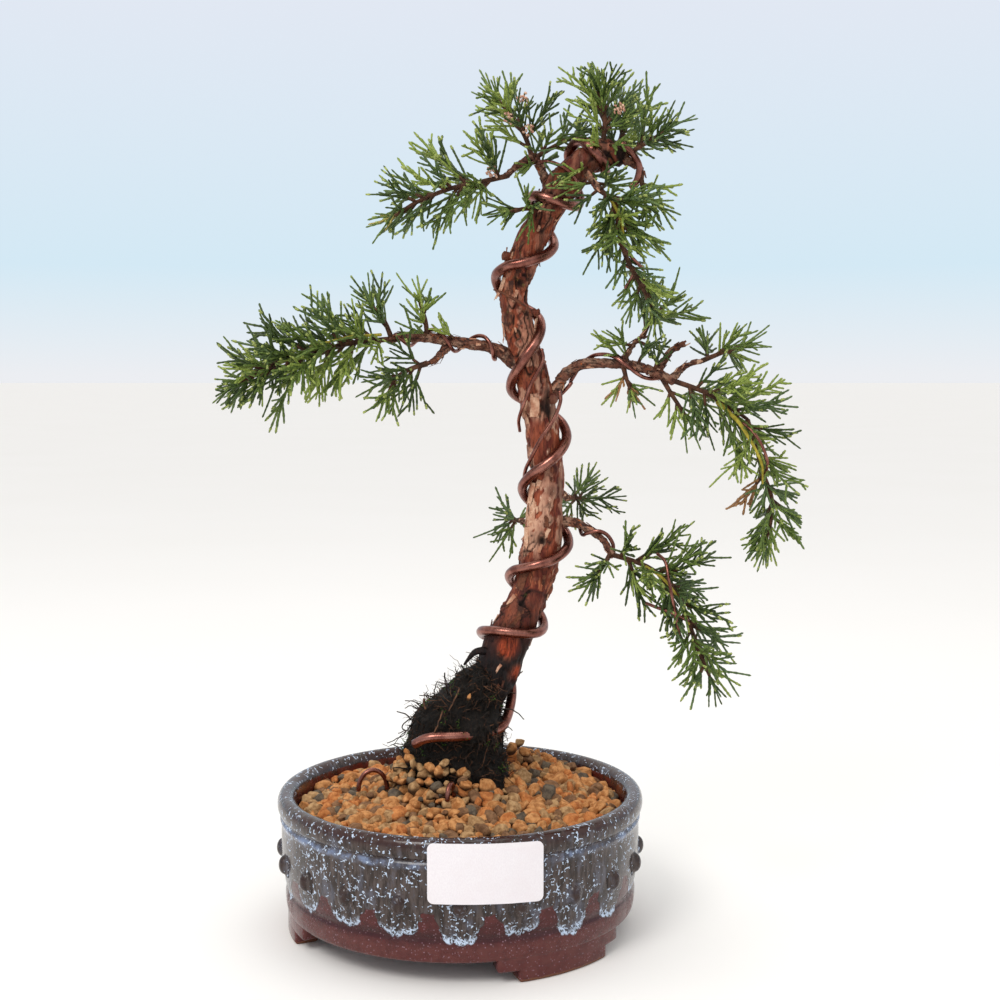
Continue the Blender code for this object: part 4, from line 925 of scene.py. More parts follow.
def finish_with(shape, kind, **values):
    """Adds a modifier and applies it."""
    step = shape.modifiers.new(kind.lower(), kind)
    for name, value in values.items():
        setattr(step, name, value)
    bpy.context.view_layer.objects.active = shape
    bpy.ops.object.modifier_apply(modifier=step.name)


def settle(shape):
    """Puts a piece's place, turn and size into its mesh."""
    bpy.context.view_layer.update()
    shape.data.transform(shape.matrix_world)
    shape.matrix_world = Matrix.Identity(4)


def copies_of(shape, places):
    """A copy with its own mesh at each of these places; the first shape is taken away."""
    made = []
    for at in places:
        copy = shape.copy()
        copy.data = shape.data.copy()
        bpy.context.scene.collection.objects.link(copy)
        copy.matrix_world = at @ shape.matrix_world
        settle(copy)
        made.append(copy)
    bpy.data.objects.remove(shape)
    return made


def join_all(shapes, name):
    bpy.ops.object.select_all(action="DESELECT")
    for shape in shapes:
        shape.select_set(True)
    bpy.context.view_layer.objects.active = shapes[0]
    bpy.ops.object.join()
    shapes[0].name = name
    shapes[0].data.name = name
    return shapes[0]


def fit(piece, slot, finish, *nodes, angle=None):
    """Gives a piece its finish, and says what it stands for and moves with."""
    piece.data.materials.clear()
    piece.data.materials.append(finish)
    piece.data.shade_smooth()
    if angle:
        piece.data.set_sharp_from_angle(angle=math.radians(angle))
    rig.ride(piece, "root")
    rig.slot(piece, slot)
    if nodes:
        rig.replaces(piece, *nodes)


# Pot and label


def about_axis(turn, radius=0.0, height=0.0):
    """The move to a place this far round from the front towards the right, facing outwards."""
    out = Vector((radius * math.sin(turn), -radius * math.cos(turn), height))
    return Matrix.Translation((MIDDLE + out) * MM) @ Matrix.Rotation(turn, 4, "Z")


def make_pot():
    """The bowl, its profile drawn out ring by ring, with its studs and feet."""
    radius, height = POT_PROFILE[0]
    pot = start_shape(
        bpy.ops.mesh.primitive_circle_add,
        vertices=POT_STEPS, radius=radius * MM, location=(MIDDLE + UP * height) * MM,
    )
    edit()
    bpy.ops.mesh.select_all(action="SELECT")
    centre = MIDDLE * MM
    for wide, high in POT_PROFILE[1:] + POT_PROFILE[:1]:
        bpy.ops.mesh.extrude_region_move(TRANSFORM_OT_translate={"value": (0, 0, (high - height) * MM)})
        share = wide / radius
        bpy.ops.transform.resize(value=(share, share, 1), center_override=(centre.x, centre.y, high * MM))
        radius, height = wide, high
    close_up(MERGE)
    settle(pot)
    finish_with(pot, "SUBSURF", levels=2, render_levels=2)
    turns = [STUD_TURN + math.tau * k / STUDS for k in range(STUDS)]
    studs = copies_of(make_stud(), [about_axis(turn, STUD_WALL, STUD_HEIGHT) for turn in turns])
    feet = []
    for half, bottom, top in FOOT_TIERS:
        tier = make_foot_tier(math.radians(half), bottom, top)
        feet += copies_of(tier, [about_axis(FOOT_TURN + math.tau * k / FEET) for k in range(FEET)])
    pot = join_all([pot, *studs, *feet], "glazed_pot")
    fit(pot, "glaze", glaze_finish(), "pot", angle=50)


def make_stud():
    """A dome on the wall, at the origin and facing the front, with its foot drawn out flat."""
    stud = start_shape(bpy.ops.mesh.primitive_uv_sphere_add, segments=28, ring_count=16, radius=MM)
    edit()
    whole(bpy.ops.transform.rotate, value=math.pi / 2, orient_axis="X", center_override=(0, 0, 0))
    bpy.ops.transform.resize(value=STUD_SIZE, center_override=(0, 0, 0))
    cut = -STUD_CUT * MM
    bpy.ops.mesh.bisect(plane_co=(0, cut, 0), plane_no=(0, 1, 0), clear_outer=True)
    pick(stud, "EDGE", lambda e: all(abs(stud.data.vertices[v].co.y - cut) < 1e-6 for v in e.vertices))
    for grow, sink in STUD_FLARE:
        bpy.ops.mesh.extrude_region_move(TRANSFORM_OT_translate={"value": (0, sink * MM, 0)})
        bpy.ops.transform.resize(value=(grow, 1, grow), center_override=(0, 0, 0))
    close_up()
    if min(p.normal.y for p in stud.data.polygons) > -0.5:
        stud.data.flip_normals()
    return stud


def make_foot_tier(half, bottom, top):
    """One step of a foot: a block bent round the axis, facing the front, its edges well rounded."""
    tier = start_shape(bpy.ops.mesh.primitive_plane_add, size=1)
    corners = [(-FOOT_DEPTH, bottom), (0, bottom), (0, top), (-FOOT_DEPTH, top)]
    for i, (back, height) in zip(tier.data.polygons[0].vertices, corners):
        tier.data.vertices[i].co = (0, -(FOOT_RADIUS + back) * MM, height * MM)
    edit()
    whole(bpy.ops.mesh.spin, steps=FOOT_STEPS, angle=2 * half, center=(0, 0, 0), axis=(0, 0, 1))
    close_up(MERGE)
    turns = [math.atan2(v.co.x, -v.co.y) for v in tier.data.vertices]
    tier.data.transform(Matrix.Rotation(-(min(turns) + max(turns)) / 2, 4, "Z"))
    mend_ends()
    rounding = {"width": FOOT_ROUNDING * MM, "segments": 4, "limit_method": "ANGLE"}
    finish_with(tier, "BEVEL", angle_limit=math.radians(40), **rounding)
    return tier


def mend_ends():
    """Closes any loops of edges that a spin has left open in the active shape."""
    edit()
    bpy.ops.mesh.select_all(action="DESELECT")
    bpy.ops.mesh.select_mode(type="EDGE")
    bpy.ops.mesh.select_non_manifold(extend=False)
    try:
        bpy.ops.mesh.edge_face_add()
    except RuntimeError:
        pass
    close_up()


def make_label():
    """A rounded sticker that bridges the rim and the wall."""
    width, height, thick = (v * MM for v in LABEL_SIZE)
    label = start_shape(bpy.ops.mesh.primitive_plane_add, size=1)
    edit()
    whole(bpy.ops.transform.resize, value=(width, height, 1), center_override=(0, 0, 0))
    bpy.ops.mesh.bevel(offset=LABEL_CORNER * MM, segments=7, affect="VERTICES")
    across, upward = LABEL_CUTS
    for k in range(1, across):
        whole(bpy.ops.mesh.bisect, plane_co=(width * (k / across - 0.5), 0, 0), plane_no=(1, 0, 0))
    for k in range(1, upward):
        whole(bpy.ops.mesh.bisect, plane_co=(0, height * (k / upward - 0.5), 0), plane_no=(0, 1, 0))
    whole(bpy.ops.mesh.extrude_region_move, TRANSFORM_OT_translate={"value": (0, 0, thick)})
    close_up()
    curve = LABEL_CURVE * MM
    for vert in label.data.vertices:
        x, y, z = vert.co
        ripple = LABEL_RIPPLE * MM * noise.noise(Vector((x, y, 0)) / MM / 7)
        angle = x / curve
        out = curve + z + ripple
        vert.co = (out * math.sin(angle), curve - out * math.cos(angle), y + x * math.sin(LABEL_LEAN))
    settle(label)
    label.data.transform(about_axis(LABEL_TURN, RIM_RADIUS + 0.6 + CLEAR, LABEL_HEIGHT))
    label.name = "paper_label"
    fit(label, "paper", paper_finish(), "label", angle=50)


# Gravel bed and stones


def soil_height(x, y, relief=GRAIN_RELIEF):
    rise, spread = SOIL_HEAP
    middle, mound, width = SOIL_MOUND
    heap = rise * math.exp(-((x / spread) ** 2) - ((y - 2) / spread) ** 2)
    bank = mound * math.exp(-(math.dist((x, y), middle) ** 2) / (2 * width**2))
    grains = relief * noise.noise(Vector((x, y, 0)) / 4.5)
    return SOIL_EDGE + heap + bank + grains


def make_bed():
    """The grit that shows between the stones, a little below their tops: dark partly for its own colour and partly as
    painted shade in the gaps.
    """
    rings, around = BED_MESH
    points = []
    for j in range(rings + 1):
        radius = SOIL_RADIUS * j / rings
        for k in range(around):
            turn = math.tau * k / around
            x, y = radius * math.cos(turn), radius * math.sin(turn)
            grit = BED_GRIT * noise.noise(Vector((x, y, 5)) / 2.5)
            points.append((x, y, soil_height(x, y, 0) - BED_DROP + grit))
    top = len(points)
    points = points + [(x, y, BED_BOTTOM) for x, y, _ in points]
    bed = Heap()
    under = grid_faces(rings + 1, around, top)[:, ::-1]
    edge = grid_faces(2, around)
    rim = np.where(edge < around, edge + rings * around, edge - around + top + rings * around)
    bed.add(points, np.vstack([grid_faces(rings + 1, around), under, rim[:, ::-1]]))
    made = bed.build("gravel_bed")
    weld(made)
    fit(made, "gravel", bed_finish(), "soil")


def weld(made):
    bpy.ops.object.select_all(action="DESELECT")
    bpy.context.view_layer.objects.active = made
    made.select_set(True)
    edit()
    close_up(MERGE / 2)


def stone_shapes(count, chance):
    """Chipped stones with worn edges, a unit in radius: points and faces of each."""
    shapes = []
    for k in range(count):
        rock = start_shape(bpy.ops.mesh.primitive_ico_sphere_add, subdivisions=1 + k % 2, radius=1)
        for vert in rock.data.vertices:
            vert.co *= chance.uniform(0.66, 1.15) if k % 2 == 0 else chance.uniform(0.82, 1.1)
            vert.co += scatter(chance, 0.16)
        edit()
        whole(bpy.ops.mesh.convex_hull)
        if k % 2:
            whole(bpy.ops.mesh.dissolve_limited, angle_limit=math.radians(24))
        leave()
        finish_with(rock, "BEVEL", width=0.1, segments=1, limit_method="NONE")
        finish_with(rock, "TRIANGULATE")
        points = np.array([v.co for v in rock.data.vertices])
        points -= (points.min(0) + points.max(0)) / 2
        points /= np.abs(points).max()
        faces = np.array([[*p.vertices, p.vertices[2]] for p in rock.data.polygons])
        shapes.append((points, faces))
        bpy.data.objects.remove(rock)
    return shapes


def root_edge(height, turn):
    """How far the root mass reaches from its middle at this height and turn, and that middle."""
    heights, *measures = zip(*ROOT_RINGS)
    cx, cy, half_x, half_y = (float(np.interp(height, heights, measure)) for measure in measures)
    return cx + half_x * math.cos(turn), cy + half_y * math.sin(turn), (cx, cy)


def stone_places(chance):
    """Where each stone lies and its size: three layers, pushed apart, heaped against the roots."""
    places = []
    for layer, pitch, drop in STONE_LAYERS:
        spots = []
        rows = int(2 * SOIL_RADIUS / pitch) + 2
        for j in range(rows):
            for k in range(rows):
                x = (k - rows / 2 + 0.5 * (j % 2)) * pitch + chance.uniform(-1.6, 1.6)
                y = (j - rows / 2) * pitch * 0.87 + chance.uniform(-1.6, 1.6)
                size = chance.choice((*STONE_SIZES, 3.4 if layer else 2.6))
                if math.hypot(x, y) < SOIL_RADIUS - size * 0.75:
                    spots.append([x, y, size * chance.uniform(0.9, 1.1)])
        spots = np.array(spots)
        for _ in range(30 if layer else 8):
            gap = spots[:, None, :2] - spots[None, :, :2]
            apart = np.hypot(gap[..., 0], gap[..., 1]) + np.eye(len(spots)) * 99
            want = 0.88 * (spots[:, None, 2] + spots[None, :, 2])
            push = np.maximum(want - apart, 0)[..., None] * gap / apart[..., None]
            spots[:, :2] += 0.25 * push.sum(1)
            out = np.hypot(spots[:, 0], spots[:, 1])
            most = SOIL_RADIUS - spots[:, 2] * 0.8
            spots[:, :2] *= np.minimum(1, most / np.maximum(out, 0.1))[:, None]
        for x, y, size in spots:
            if layer == 2 and noise.noise(Vector((x, y, 3)) / 9) < -0.05:
                continue
            height = soil_height(x, y, 0)
            turn = math.atan2((y - 2.0) / 16.5, (x + 1.5) / 19.3)
            edge_x, edge_y, (cx, cy) = root_edge(height, turn)
            beyond = math.hypot(x - cx, y - cy) - math.hypot(edge_x - cx, edge_y - cy)
            if beyond < 0.1 * size:
                continue
            front = max(0.0, -math.cos(math.atan2(x + 6, -(y - 2)) + math.pi))
            height += 3.0 * front * math.exp(-((beyond / 7) ** 2)) if layer else 0.0
            wave = 1.2 * noise.noise(Vector((x, y, 9)) / 3) if layer else 0.0
            places.append((x, y, height - drop - 0.25 * size + wave, size))
    for _ in range(BANK_STONES):  # against the front and left of the roots
        share = chance.uniform(0, 1)
        turn = math.radians(chance.uniform(175, 285))
        height = 55.5 + 6.5 * share
        x, y, (cx, cy) = root_edge(height, turn)
        out = Vector((x - cx, y - cy, 0)).normalized() * (0.6 + 4.2 * (1 - share))
        places.append((x + out.x, y + out.y, height + chance.uniform(-0.6, 0.6), chance.uniform(1.3, 2.4)))
    return places + list(PERCHED_STONES)


def make_stones():
    """The stones, dealt out by chance to five finishes."""
    chance = random.Random("stones")
    shapes = stone_shapes(STONE_SHAPES, chance)
    heaps = {name: Heap() for name in STONE_TINTS}
    shade_heights = {name: [] for name in STONE_TINTS}
    shares = [share for share, *_ in STONE_TINTS.values()]
    for x, y, z, size in stone_places(chance):
        points, faces = shapes[chance.randrange(len(shapes))]
        spin = Quaternion([chance.gauss(0, 1) for _ in range(4)])
        turn = np.array(spin.normalized().to_matrix())
        squash = np.array((1.12, chance.uniform(0.72, 1.05), chance.uniform(0.55, 0.9)))
        name = chance.choices(list(STONE_TINTS), shares)[0]
        if z > SOIL_EDGE + SOIL_HEAP[0] + 2:
            name = chance.choice(("ochre", "tan"))
        turned = (points * squash * size * 1.12) @ turn.T
        heaps[name].add(turned + (x, y, z), faces)
        # how high each point sits on its stone, for the painted shade on its lower side
        share = np.clip(0.5 + 0.5 * turned[:, 2] / size, 0, 1)
        shade_heights[name].append(np.stack([share, share, share, np.ones(len(share))], 1))
    for name, heap in heaps.items():
        finish = stone_finish("stone_" + name, *(paint(*colour) for colour in STONE_TINTS[name][1:]))
        made = heap.build("stones_" + name)
        add_tones(made, np.vstack(shade_heights[name]), "stone_shade_height")
        fit(made, "gravel", finish, "soil", angle=13)


# Root mass

FIBRE_SWELL = (  # middles of the lumps where the fibres bulge out to the front
    (5.6, -11.0, 75.4), (6.4, -13.0, 75.6), (9.6, -10.0, 76.0), (10.4, -12.0, 76.4), (12.0, -8.0, 76.6),
    (12.6, -10.6, 77.0), (14.4, -5.6, 77.6), (14.8, -8.4, 78.0),
)
LOOSE_ROOTS = (  # radius at the foot, then the points of a hair root that sticks out
    (0.30, (-18.4, -4, 78.4), (-21.0, -5, 80.6), (-23.6, -6, 81.9)),
    (0.28, (-17.4, -5, 79.6), (-21.5, -7, 76.7), (-20.4, -8, 73.6), (-27.0, -9, 70.5)),
    (0.26, (-12.6, -6, 82.6), (-17.2, -8, 85.9), (-20.2, -9, 86.5)),
    (0.26, (-6.8, -6, 87.0), (-11.2, -8, 88.1), (-15.1, -9, 88.5)),
    (0.24, (-9.8, -6, 86.6), (-8.7, -8, 92.9), (-6.5, -9, 93.1)),
    (0.42, (-4.6, -5, 88.2), (-5.2, -7, 92.4), (-5.7, -7, 96.4)),
    (0.28, (-2.2, -5, 91.5), (-1.6, -6, 94.0), (-1.4, -7, 96.4)),
    (0.42, (2.4, -4, 94.6), (1.6, -5, 97.0), (0.5, -6, 99.3)),
    (0.30, (-20.6, -6, 64.3), (-22.6, -7, 67.6), (-24.9, -8, 69.6)),
    (0.30, (-19.6, -8, 60.3), (-22.9, -9, 61.2), (-24.8, -9, 61.2)),
    (0.30, (14.6, -5, 82.2), (18.6, -6, 82.6), (21.6, -6, 81.1), (24.0, -7, 79.1)),
    (0.26, (14.8, -5, 76.0), (17.0, -6, 76.4), (19.5, -7, 74.9)),
    (0.26, (15.6, -4, 86.0), (18.8, -5, 88.6), (20.6, -5, 88.2)),
    (0.24, (-15.4, -8, 72.6), (-19.8, -10, 75.2), (-22.8, -10, 74.4)),
    (0.26, (-14.0, 12, 76.0), (-19.0, 15, 79.0), (-22.0, 17, 78.0)),
    (0.26, (4.0, 14, 78.0), (6.0, 19, 81.0), (9.0, 22, 80.0)),
    (0.30, (13.0, 11, 80.0), (18.0, 14, 82.5), (20.0, 17, 80.0)),
)
PALE_ROOTS = (
    (0.34, (-0.1, -12.2, 92.0), (-1.6, -13.8, 88.0), (-4.0, -13.6, 83.7)),
    (0.34, (-6.1, -13.8, 83.7), (-8.2, -15.6, 78.0), (-10.8, -16.0, 72.7)),
    (0.55, (-13.2, -9.4, 87.2), (-13.0, -10.6, 85.4), (-12.5, -11.2, 83.7)),
)


def root_point(turn, share, swell=0.0):
    """A point on the root mass: up the side to the sloping top (share 0 to 0.8), then in to the trunk."""
    point, normal = (Vector(v) for v in ROOT_TOP)
    heights = np.linspace(ROOT_RINGS[0][0] - 3, ROOT_RINGS[-1][0], 60)
    top = heights[-1]
    for height in heights:
        x, y, _ = root_edge(height, turn)
        if (Vector((x, y, height)) - point).dot(normal) > 0:
            top = height
            break
    height = heights[0] + (top - heights[0]) * min(share / 0.8, 1)
    x, y, (cx, cy) = root_edge(height, turn)
    at = Vector((x, y, height))
    out = Vector((x - cx, y - cy, 0)).normalized()
    if share > 0.8:
        at = at.lerp(Vector((11.8, 2.6, 91.0)), (share - 0.8) / 0.2 * 0.75)
    lumps = 1.5 * noise.noise(at / 5.5) + 1.3 * noise.noise(at / 2.2) + 0.9 * noise.noise(at / 0.9)
    for spot in FIBRE_SWELL:
        at += Vector((0, -1, 0)) * (3.4 * math.exp(-(((at - Vector(spot)).length / 5.0) ** 4)))
    round_off = 1.2 * max(0.0, (share - 0.7) / 0.1) if share < 0.8 else 1.2
    return at + out * (lumps + swell - round_off) + UP * (0.4 * lumps if share > 0.7 else 0), out


def make_root_mass():
    """The matted roots with their sloping top, the hair roots that leave them, and moss."""
    rings, around = ROOT_MESH
    points = []
    for j in range(rings):
        points += [root_point(math.tau * k / around, j / (rings - 1))[0] for k in range(around)]
    mass = Heap()
    mass.add(points, grid_faces(rings, around))
    fit(mass.build("root_felt"), "roots", root_finish(), "root_mass")

    chance = random.Random("roots")
    hairs = {"dark": Heap(), "brown": Heap()}
    for _ in range(HAIR_ROOTS):
        turn, share = chance.uniform(0, math.tau), chance.uniform(0.08, 0.98)
        at, out = root_point(turn, share)
        long = chance.uniform(2, 6) if chance.random() < 0.93 else chance.uniform(6, 12)
        side = UP.cross(out)
        way = out * chance.uniform(0.05, 0.5) + side * chance.uniform(-1, 1) + UP * chance.uniform(-1, 0.7)
        way.normalize()
        bend = out * chance.uniform(-0.5, 0.3) + side * chance.uniform(-1, 1) + UP * chance.uniform(-1, 0.6)
        radius = chance.uniform(0.12, 0.3)
        route = []
        for k in range(7):
            t = k / 6
            kink = noise.noise_vector(at * 3.1 + Vector((k, 0, 0))) * (0.16 * long * t)
            spot = at - out * 0.5 + way * (long * t) + bend * (0.3 * long * t * t) + kink
            route.append((*spot, radius * (1 - 0.6 * t)))
        hairs["brown" if chance.random() < 0.3 else "dark"].add(*tube(np.array(route), 3))
    for name, roots in (("dark", LOOSE_ROOTS), ("brown", PALE_ROOTS)):
        for thick, *points in roots:
            knots = [(*p, thick * (1 - 0.5 * k / len(points))) for k, p in enumerate(points)]
            route = smooth_route(knots, 0.7)
            for point in route[1:]:
                point[:3] += np.array(noise.noise_vector(Vector(point[:3]) / 1.6)) * 0.4
            hairs[name].add(*tube(route, 5))
    for name, low, high in (("dark", (20, 16, 14), (52, 40, 32)), ("brown", (58, 36, 26), (112, 78, 56))):
        finish = thread_finish("hair_root_" + name, paint(*low), paint(*high))
        fit(hairs[name].build("hair_roots_" + name), "roots", finish)

    moss = Heap()
    for _ in range(MOSS_TUFTS):
        turn, share = chance.uniform(0, math.tau), chance.uniform(0.05, 0.95)
        at, out = root_point(turn, share, 0.2)
        if noise.noise(at / 9) < 0.0:
            continue
        for _ in range(9):
            tip = (out + scatter(chance, 0.9)).normalized() * chance.uniform(0.7, 1.6)
            side = tip.orthogonal().normalized() * 0.22
            foot = at + scatter(chance, 1.1)
            ridge = foot + side.cross(tip).normalized() * 0.12 + tip * 0.45
            leaf = [foot - side * 0.4, foot + tip * 0.5 - side, foot + tip, foot + tip * 0.5 + side, ridge]
            moss.add(leaf, [(0, 1, 4, 4), (1, 2, 4, 4), (2, 3, 4, 4), (3, 0, 4, 4), (3, 2, 1, 0)])
    fit(moss.build("moss"), "roots", thread_finish("moss", paint(44, 72, 26), paint(96, 132, 52)))


# Bark


def crack_at(at, wide, tall, width, part):
    """1 in the middle of long upright cracks, about as far apart as they are wide, 0 beside them."""
    spot = Vector((at.x / wide, at.y / wide, at.z / tall)) + 0.45 * noise.noise_vector(at / (1.6 * wide))
    return 1 - ease(0.25 * width, width, abs(noise.noise(spot + Vector((part, part, 0)))))


BARK_ROUGH = (  # heights, and how rough the trunk's bark is there
    (100, 112, 130, 142, 198, 212, 226, 246, 262),
    (1, 1, 0.8, 0.4, 0.35, 0.6, 0.9, 0.6, 0.4),
)
BARK_PALE = ((108, 125, 137, 142, 198, 206, 222, 250), (0.0, 0.1, 0.35, 1.0, 1.0, 0.7, 0.45, 0.25))
BARK_OLD = ((80, 100, 107, 115, 128), (1.0, 1.0, 0.85, 0.4, 0.0))
BARK_SHADE = ((262, 272), (0, 1))


def bark_relief(at):
    """How far the trunk's bark stands out here, and its tone: pale plate, crack and painted shade, old dark bark."""
    zone = by_height(at, *BARK_ROUGH)
    wide = crack_at(at, 5.0, 24.0, 0.11, 3.0)
    thin = crack_at(at, 2.6, 13.0, 0.10, 11.0)
    cross = crack_at(Vector((at.x, at.y, at.z * 3.2)), 5.0, 12.0, 0.07, 23.0)
    fibre = noise.noise(Vector((at.x / 0.8, at.y / 0.8, at.z / 9)))
    fine = noise.noise(Vector((at.x / 0.45, at.y / 0.45, at.z / 3)))
    lump = noise.noise(at / 7)
    bent = Vector((at.x / 4.2, at.y / 4.2, at.z / 17)) + 0.5 * noise.noise_vector(at / 3)
    step = ease(-0.06, 0.06, noise.noise(bent))
    smooth = ease(-0.22, 0.04, noise.noise(Vector((at.x / 7, at.y / 7, at.z / 24)) + Vector((4, 2, 7))))
    rough = 1 - (0.9 - 0.35 * zone) * smooth
    shag = ease(0.05, 0.3, noise.noise(Vector((at.x / 1.5, at.y / 1.5, at.z / 4.5)))) * zone * rough
    crack = max(wide, 0.8 * thin * rough, 0.6 * cross * rough)
    out = 0.6 * lump - 0.7 * wide * (0.25 + 0.75 * rough)
    out += rough * (0.5 * step - 0.3 * thin - 0.25 * cross + 0.14 * fibre)
    out += 0.5 * shag + 0.04 * fibre + 0.08 * fine * rough
    pale = by_height(at, *BARK_PALE)
    pale *= ease(0.42, 0.58, step * (0.5 + 0.5 * rough) + 0.25 * pale)
    old = by_height(at, *BARK_OLD)
    # painted shade on the trunk's top, under the foliage
    dark = 0.45 * ease(-0.1, 0.2, noise.noise(at / 5.0 + Vector((1, 8, 3)))) * by_height(at, *BARK_SHADE)
    patch = ease(0.12, 0.34, noise.noise(at / 4.2 + Vector((9, 9, 9))))
    dark = min(1.0, dark + crack * (0.3 + 0.7 * rough) + 0.6 * patch * rough * zone)
    for spot, size, depth, ring in KNOTS:
        away = (at - Vector(spot)).length / size
        out += depth * math.exp(-away * away) + ring * math.exp(-((away - 1.15) ** 2) / 0.12)
        # painted shade in the knot holes, with a lesser darkening round the raised knots
        shade = math.exp(-(away**4) / (1.0 if depth < 0 else 4.0))
        dark = max(dark, shade * (1.0 if depth < 0 else 0.45))
    for spot, size in BRIGHT_SKIN:
        glow = math.exp(-(((at - Vector(spot)).length / size) ** 4))
        old *= 1 - glow
        dark *= 1 - 0.8 * glow
        pale = pale * (1 - glow) - (glow if at.z < GLOW_TOP else 0)
    return out, (pale, dark, old)


KNOTS = (  # place, size, how far it stands out or goes in, and its rim
    ((30.6, -2.0, 145.3), 2.1, -2.6, 0.6),
    ((34.7, -0.3, 171.8), 1.8, 1.5, 0.4),
    ((34.0, -0.3, 164.3), 1.6, 1.2, 0.3),
    ((31.6, -2.5, 201.5), 2.1, 1.5, 0.3),
    ((22.3, -4.8, 240.5), 2.1, -1.4, 0.6),
    ((23.0, -4.0, 127.2), 2.0, 0.9, 0.2),
    ((25.5, -3.5, 121.0), 1.7, 1.1, 0.2),
    ((26.0, -6.5, 266.0), 1.6, 0.8, 0.2),
    ((27.0, 11.5, 190.0), 2.2, -1.6, 0.5),
    ((37.0, 10.0, 130.0), 2.4, 0.9, 0.4),
)
BRIGHT_SKIN = (  # place and size of spots where the bark is gone
    ((18.0, -5.0, 106.0), 4.6), ((24.5, -4.0, 258.0), 5.0),
    ((29.0, -1.0, 187.0), 4.0), ((21.5, -2.0, 95.0), 3.6),
)
GLOW_TOP = 120  # the spots lower than this are orange


def tube_with_tone(heap, tones, route, sides, relief):
    """Adds a tube whose surface a relief function moves, and keeps each point's tone."""
    held = []

    def moved(points, ways):
        flat, out = points.reshape(-1, 3), ways.reshape(-1, 3)
        made = []
        for point, way in zip(flat, out):
            rise, tone = relief(Vector(point))
            made.append(point + way * rise)
            held.append((*tone, 1.0))
        return np.array(made).reshape(points.shape)

    points, faces = tube(route, sides, moved)
    heap.add(points, faces)
    first, last = held[:sides], held[-sides:]
    tones += first + held + last + [first[0], last[0]]


def add_tones(piece, tones, name="bark_tone"):
    layer = piece.data.color_attributes.new(name, "FLOAT_COLOR", "POINT")
    layer.data.foreach_set("color", np.array(tones, float).ravel())


def stub_route(foot, way, length, radius):
    start = Vector(foot)
    tip = start + Vector(way).normalized() * length
    knots = ((*start, radius * 1.3), (*start.lerp(tip, 0.7), radius), (*tip, radius * 0.75))
    return smooth_route(knots, BARK_STEP)


SNAG = (
    (13.0, 0.5, 102.6, 2.0), (10.4, -0.6, 103.4, 1.6), (8.4, -1.2, 103.7, 1.5),
    (5.7, -1.6, 103.4, 1.2), (3.4, -2.0, 101.2, 0.8), (1.5, -2.2, 98.6, 0.4),
)


def make_trunk():
    """The trunk with its broken stubs and dead snag; returns the rings of points of its bark."""
    trunk, tones = Heap(), []
    tube_with_tone(trunk, tones, smooth_route(TRUNK, TRUNK_STEP), TRUNK_SIDES, bark_relief)
    rings = trunk.points[0][TRUNK_SIDES : -TRUNK_SIDES - 2].reshape(-1, TRUNK_SIDES, 3)
    for stub in STUBS:
        def broken(at, tip=Vector(stub[0]) + Vector(stub[1]).normalized() * stub[2]):
            out, (pale, dark, old) = bark_relief(at)
            near = math.exp(-((at - tip).length / 3.0) ** 2)
            return out * 0.6 + near * 0.8 * noise.noise(at / 0.8), (pale * 0.4, max(dark, 0.6 * near), old)

        tube_with_tone(trunk, tones, stub_route(*stub), 20, broken)
    snag = smooth_route(SNAG, BARK_STEP)
    tube_with_tone(trunk, tones, snag, 16, lambda at: (bark_relief(at)[0] * 0.4, (0, 0.6, 1)))
    made = trunk.build("trunk_bark")
    add_tones(made, tones)
    fit(made, "bark", bark_finish(), "trunk")
    return rings


LARGE_FLAKES = (
    (24.6, -1.0, 165.0), (24.4, -0.5, 158.0), (24.0, 0.0, 148.0), (15.0, 0, 249.5), (14.6, 1, 223.6),
    (32.0, 0, 222.5), (30.5, -4, 262.0), (19.0, -3.5, 130.0), (22.0, 0, 189.0), (22.0, -3, 118.0),
    (27.5, -2.5, 194.0), (16.5, -2, 240.0),
)
SPLINTER = (
    (12.6, -6.2, 238.0, 0.25), (16.5, -6.6, 236.6, 0.5), (21.0, -7.2, 234.0, 0.55), (25.6, -7.6, 231.2, 0.2),
)
FLAKE_PALE = ((110, 130, 150, 205, 235), (0.1, 0.35, 0.8, 0.8, 0.35))


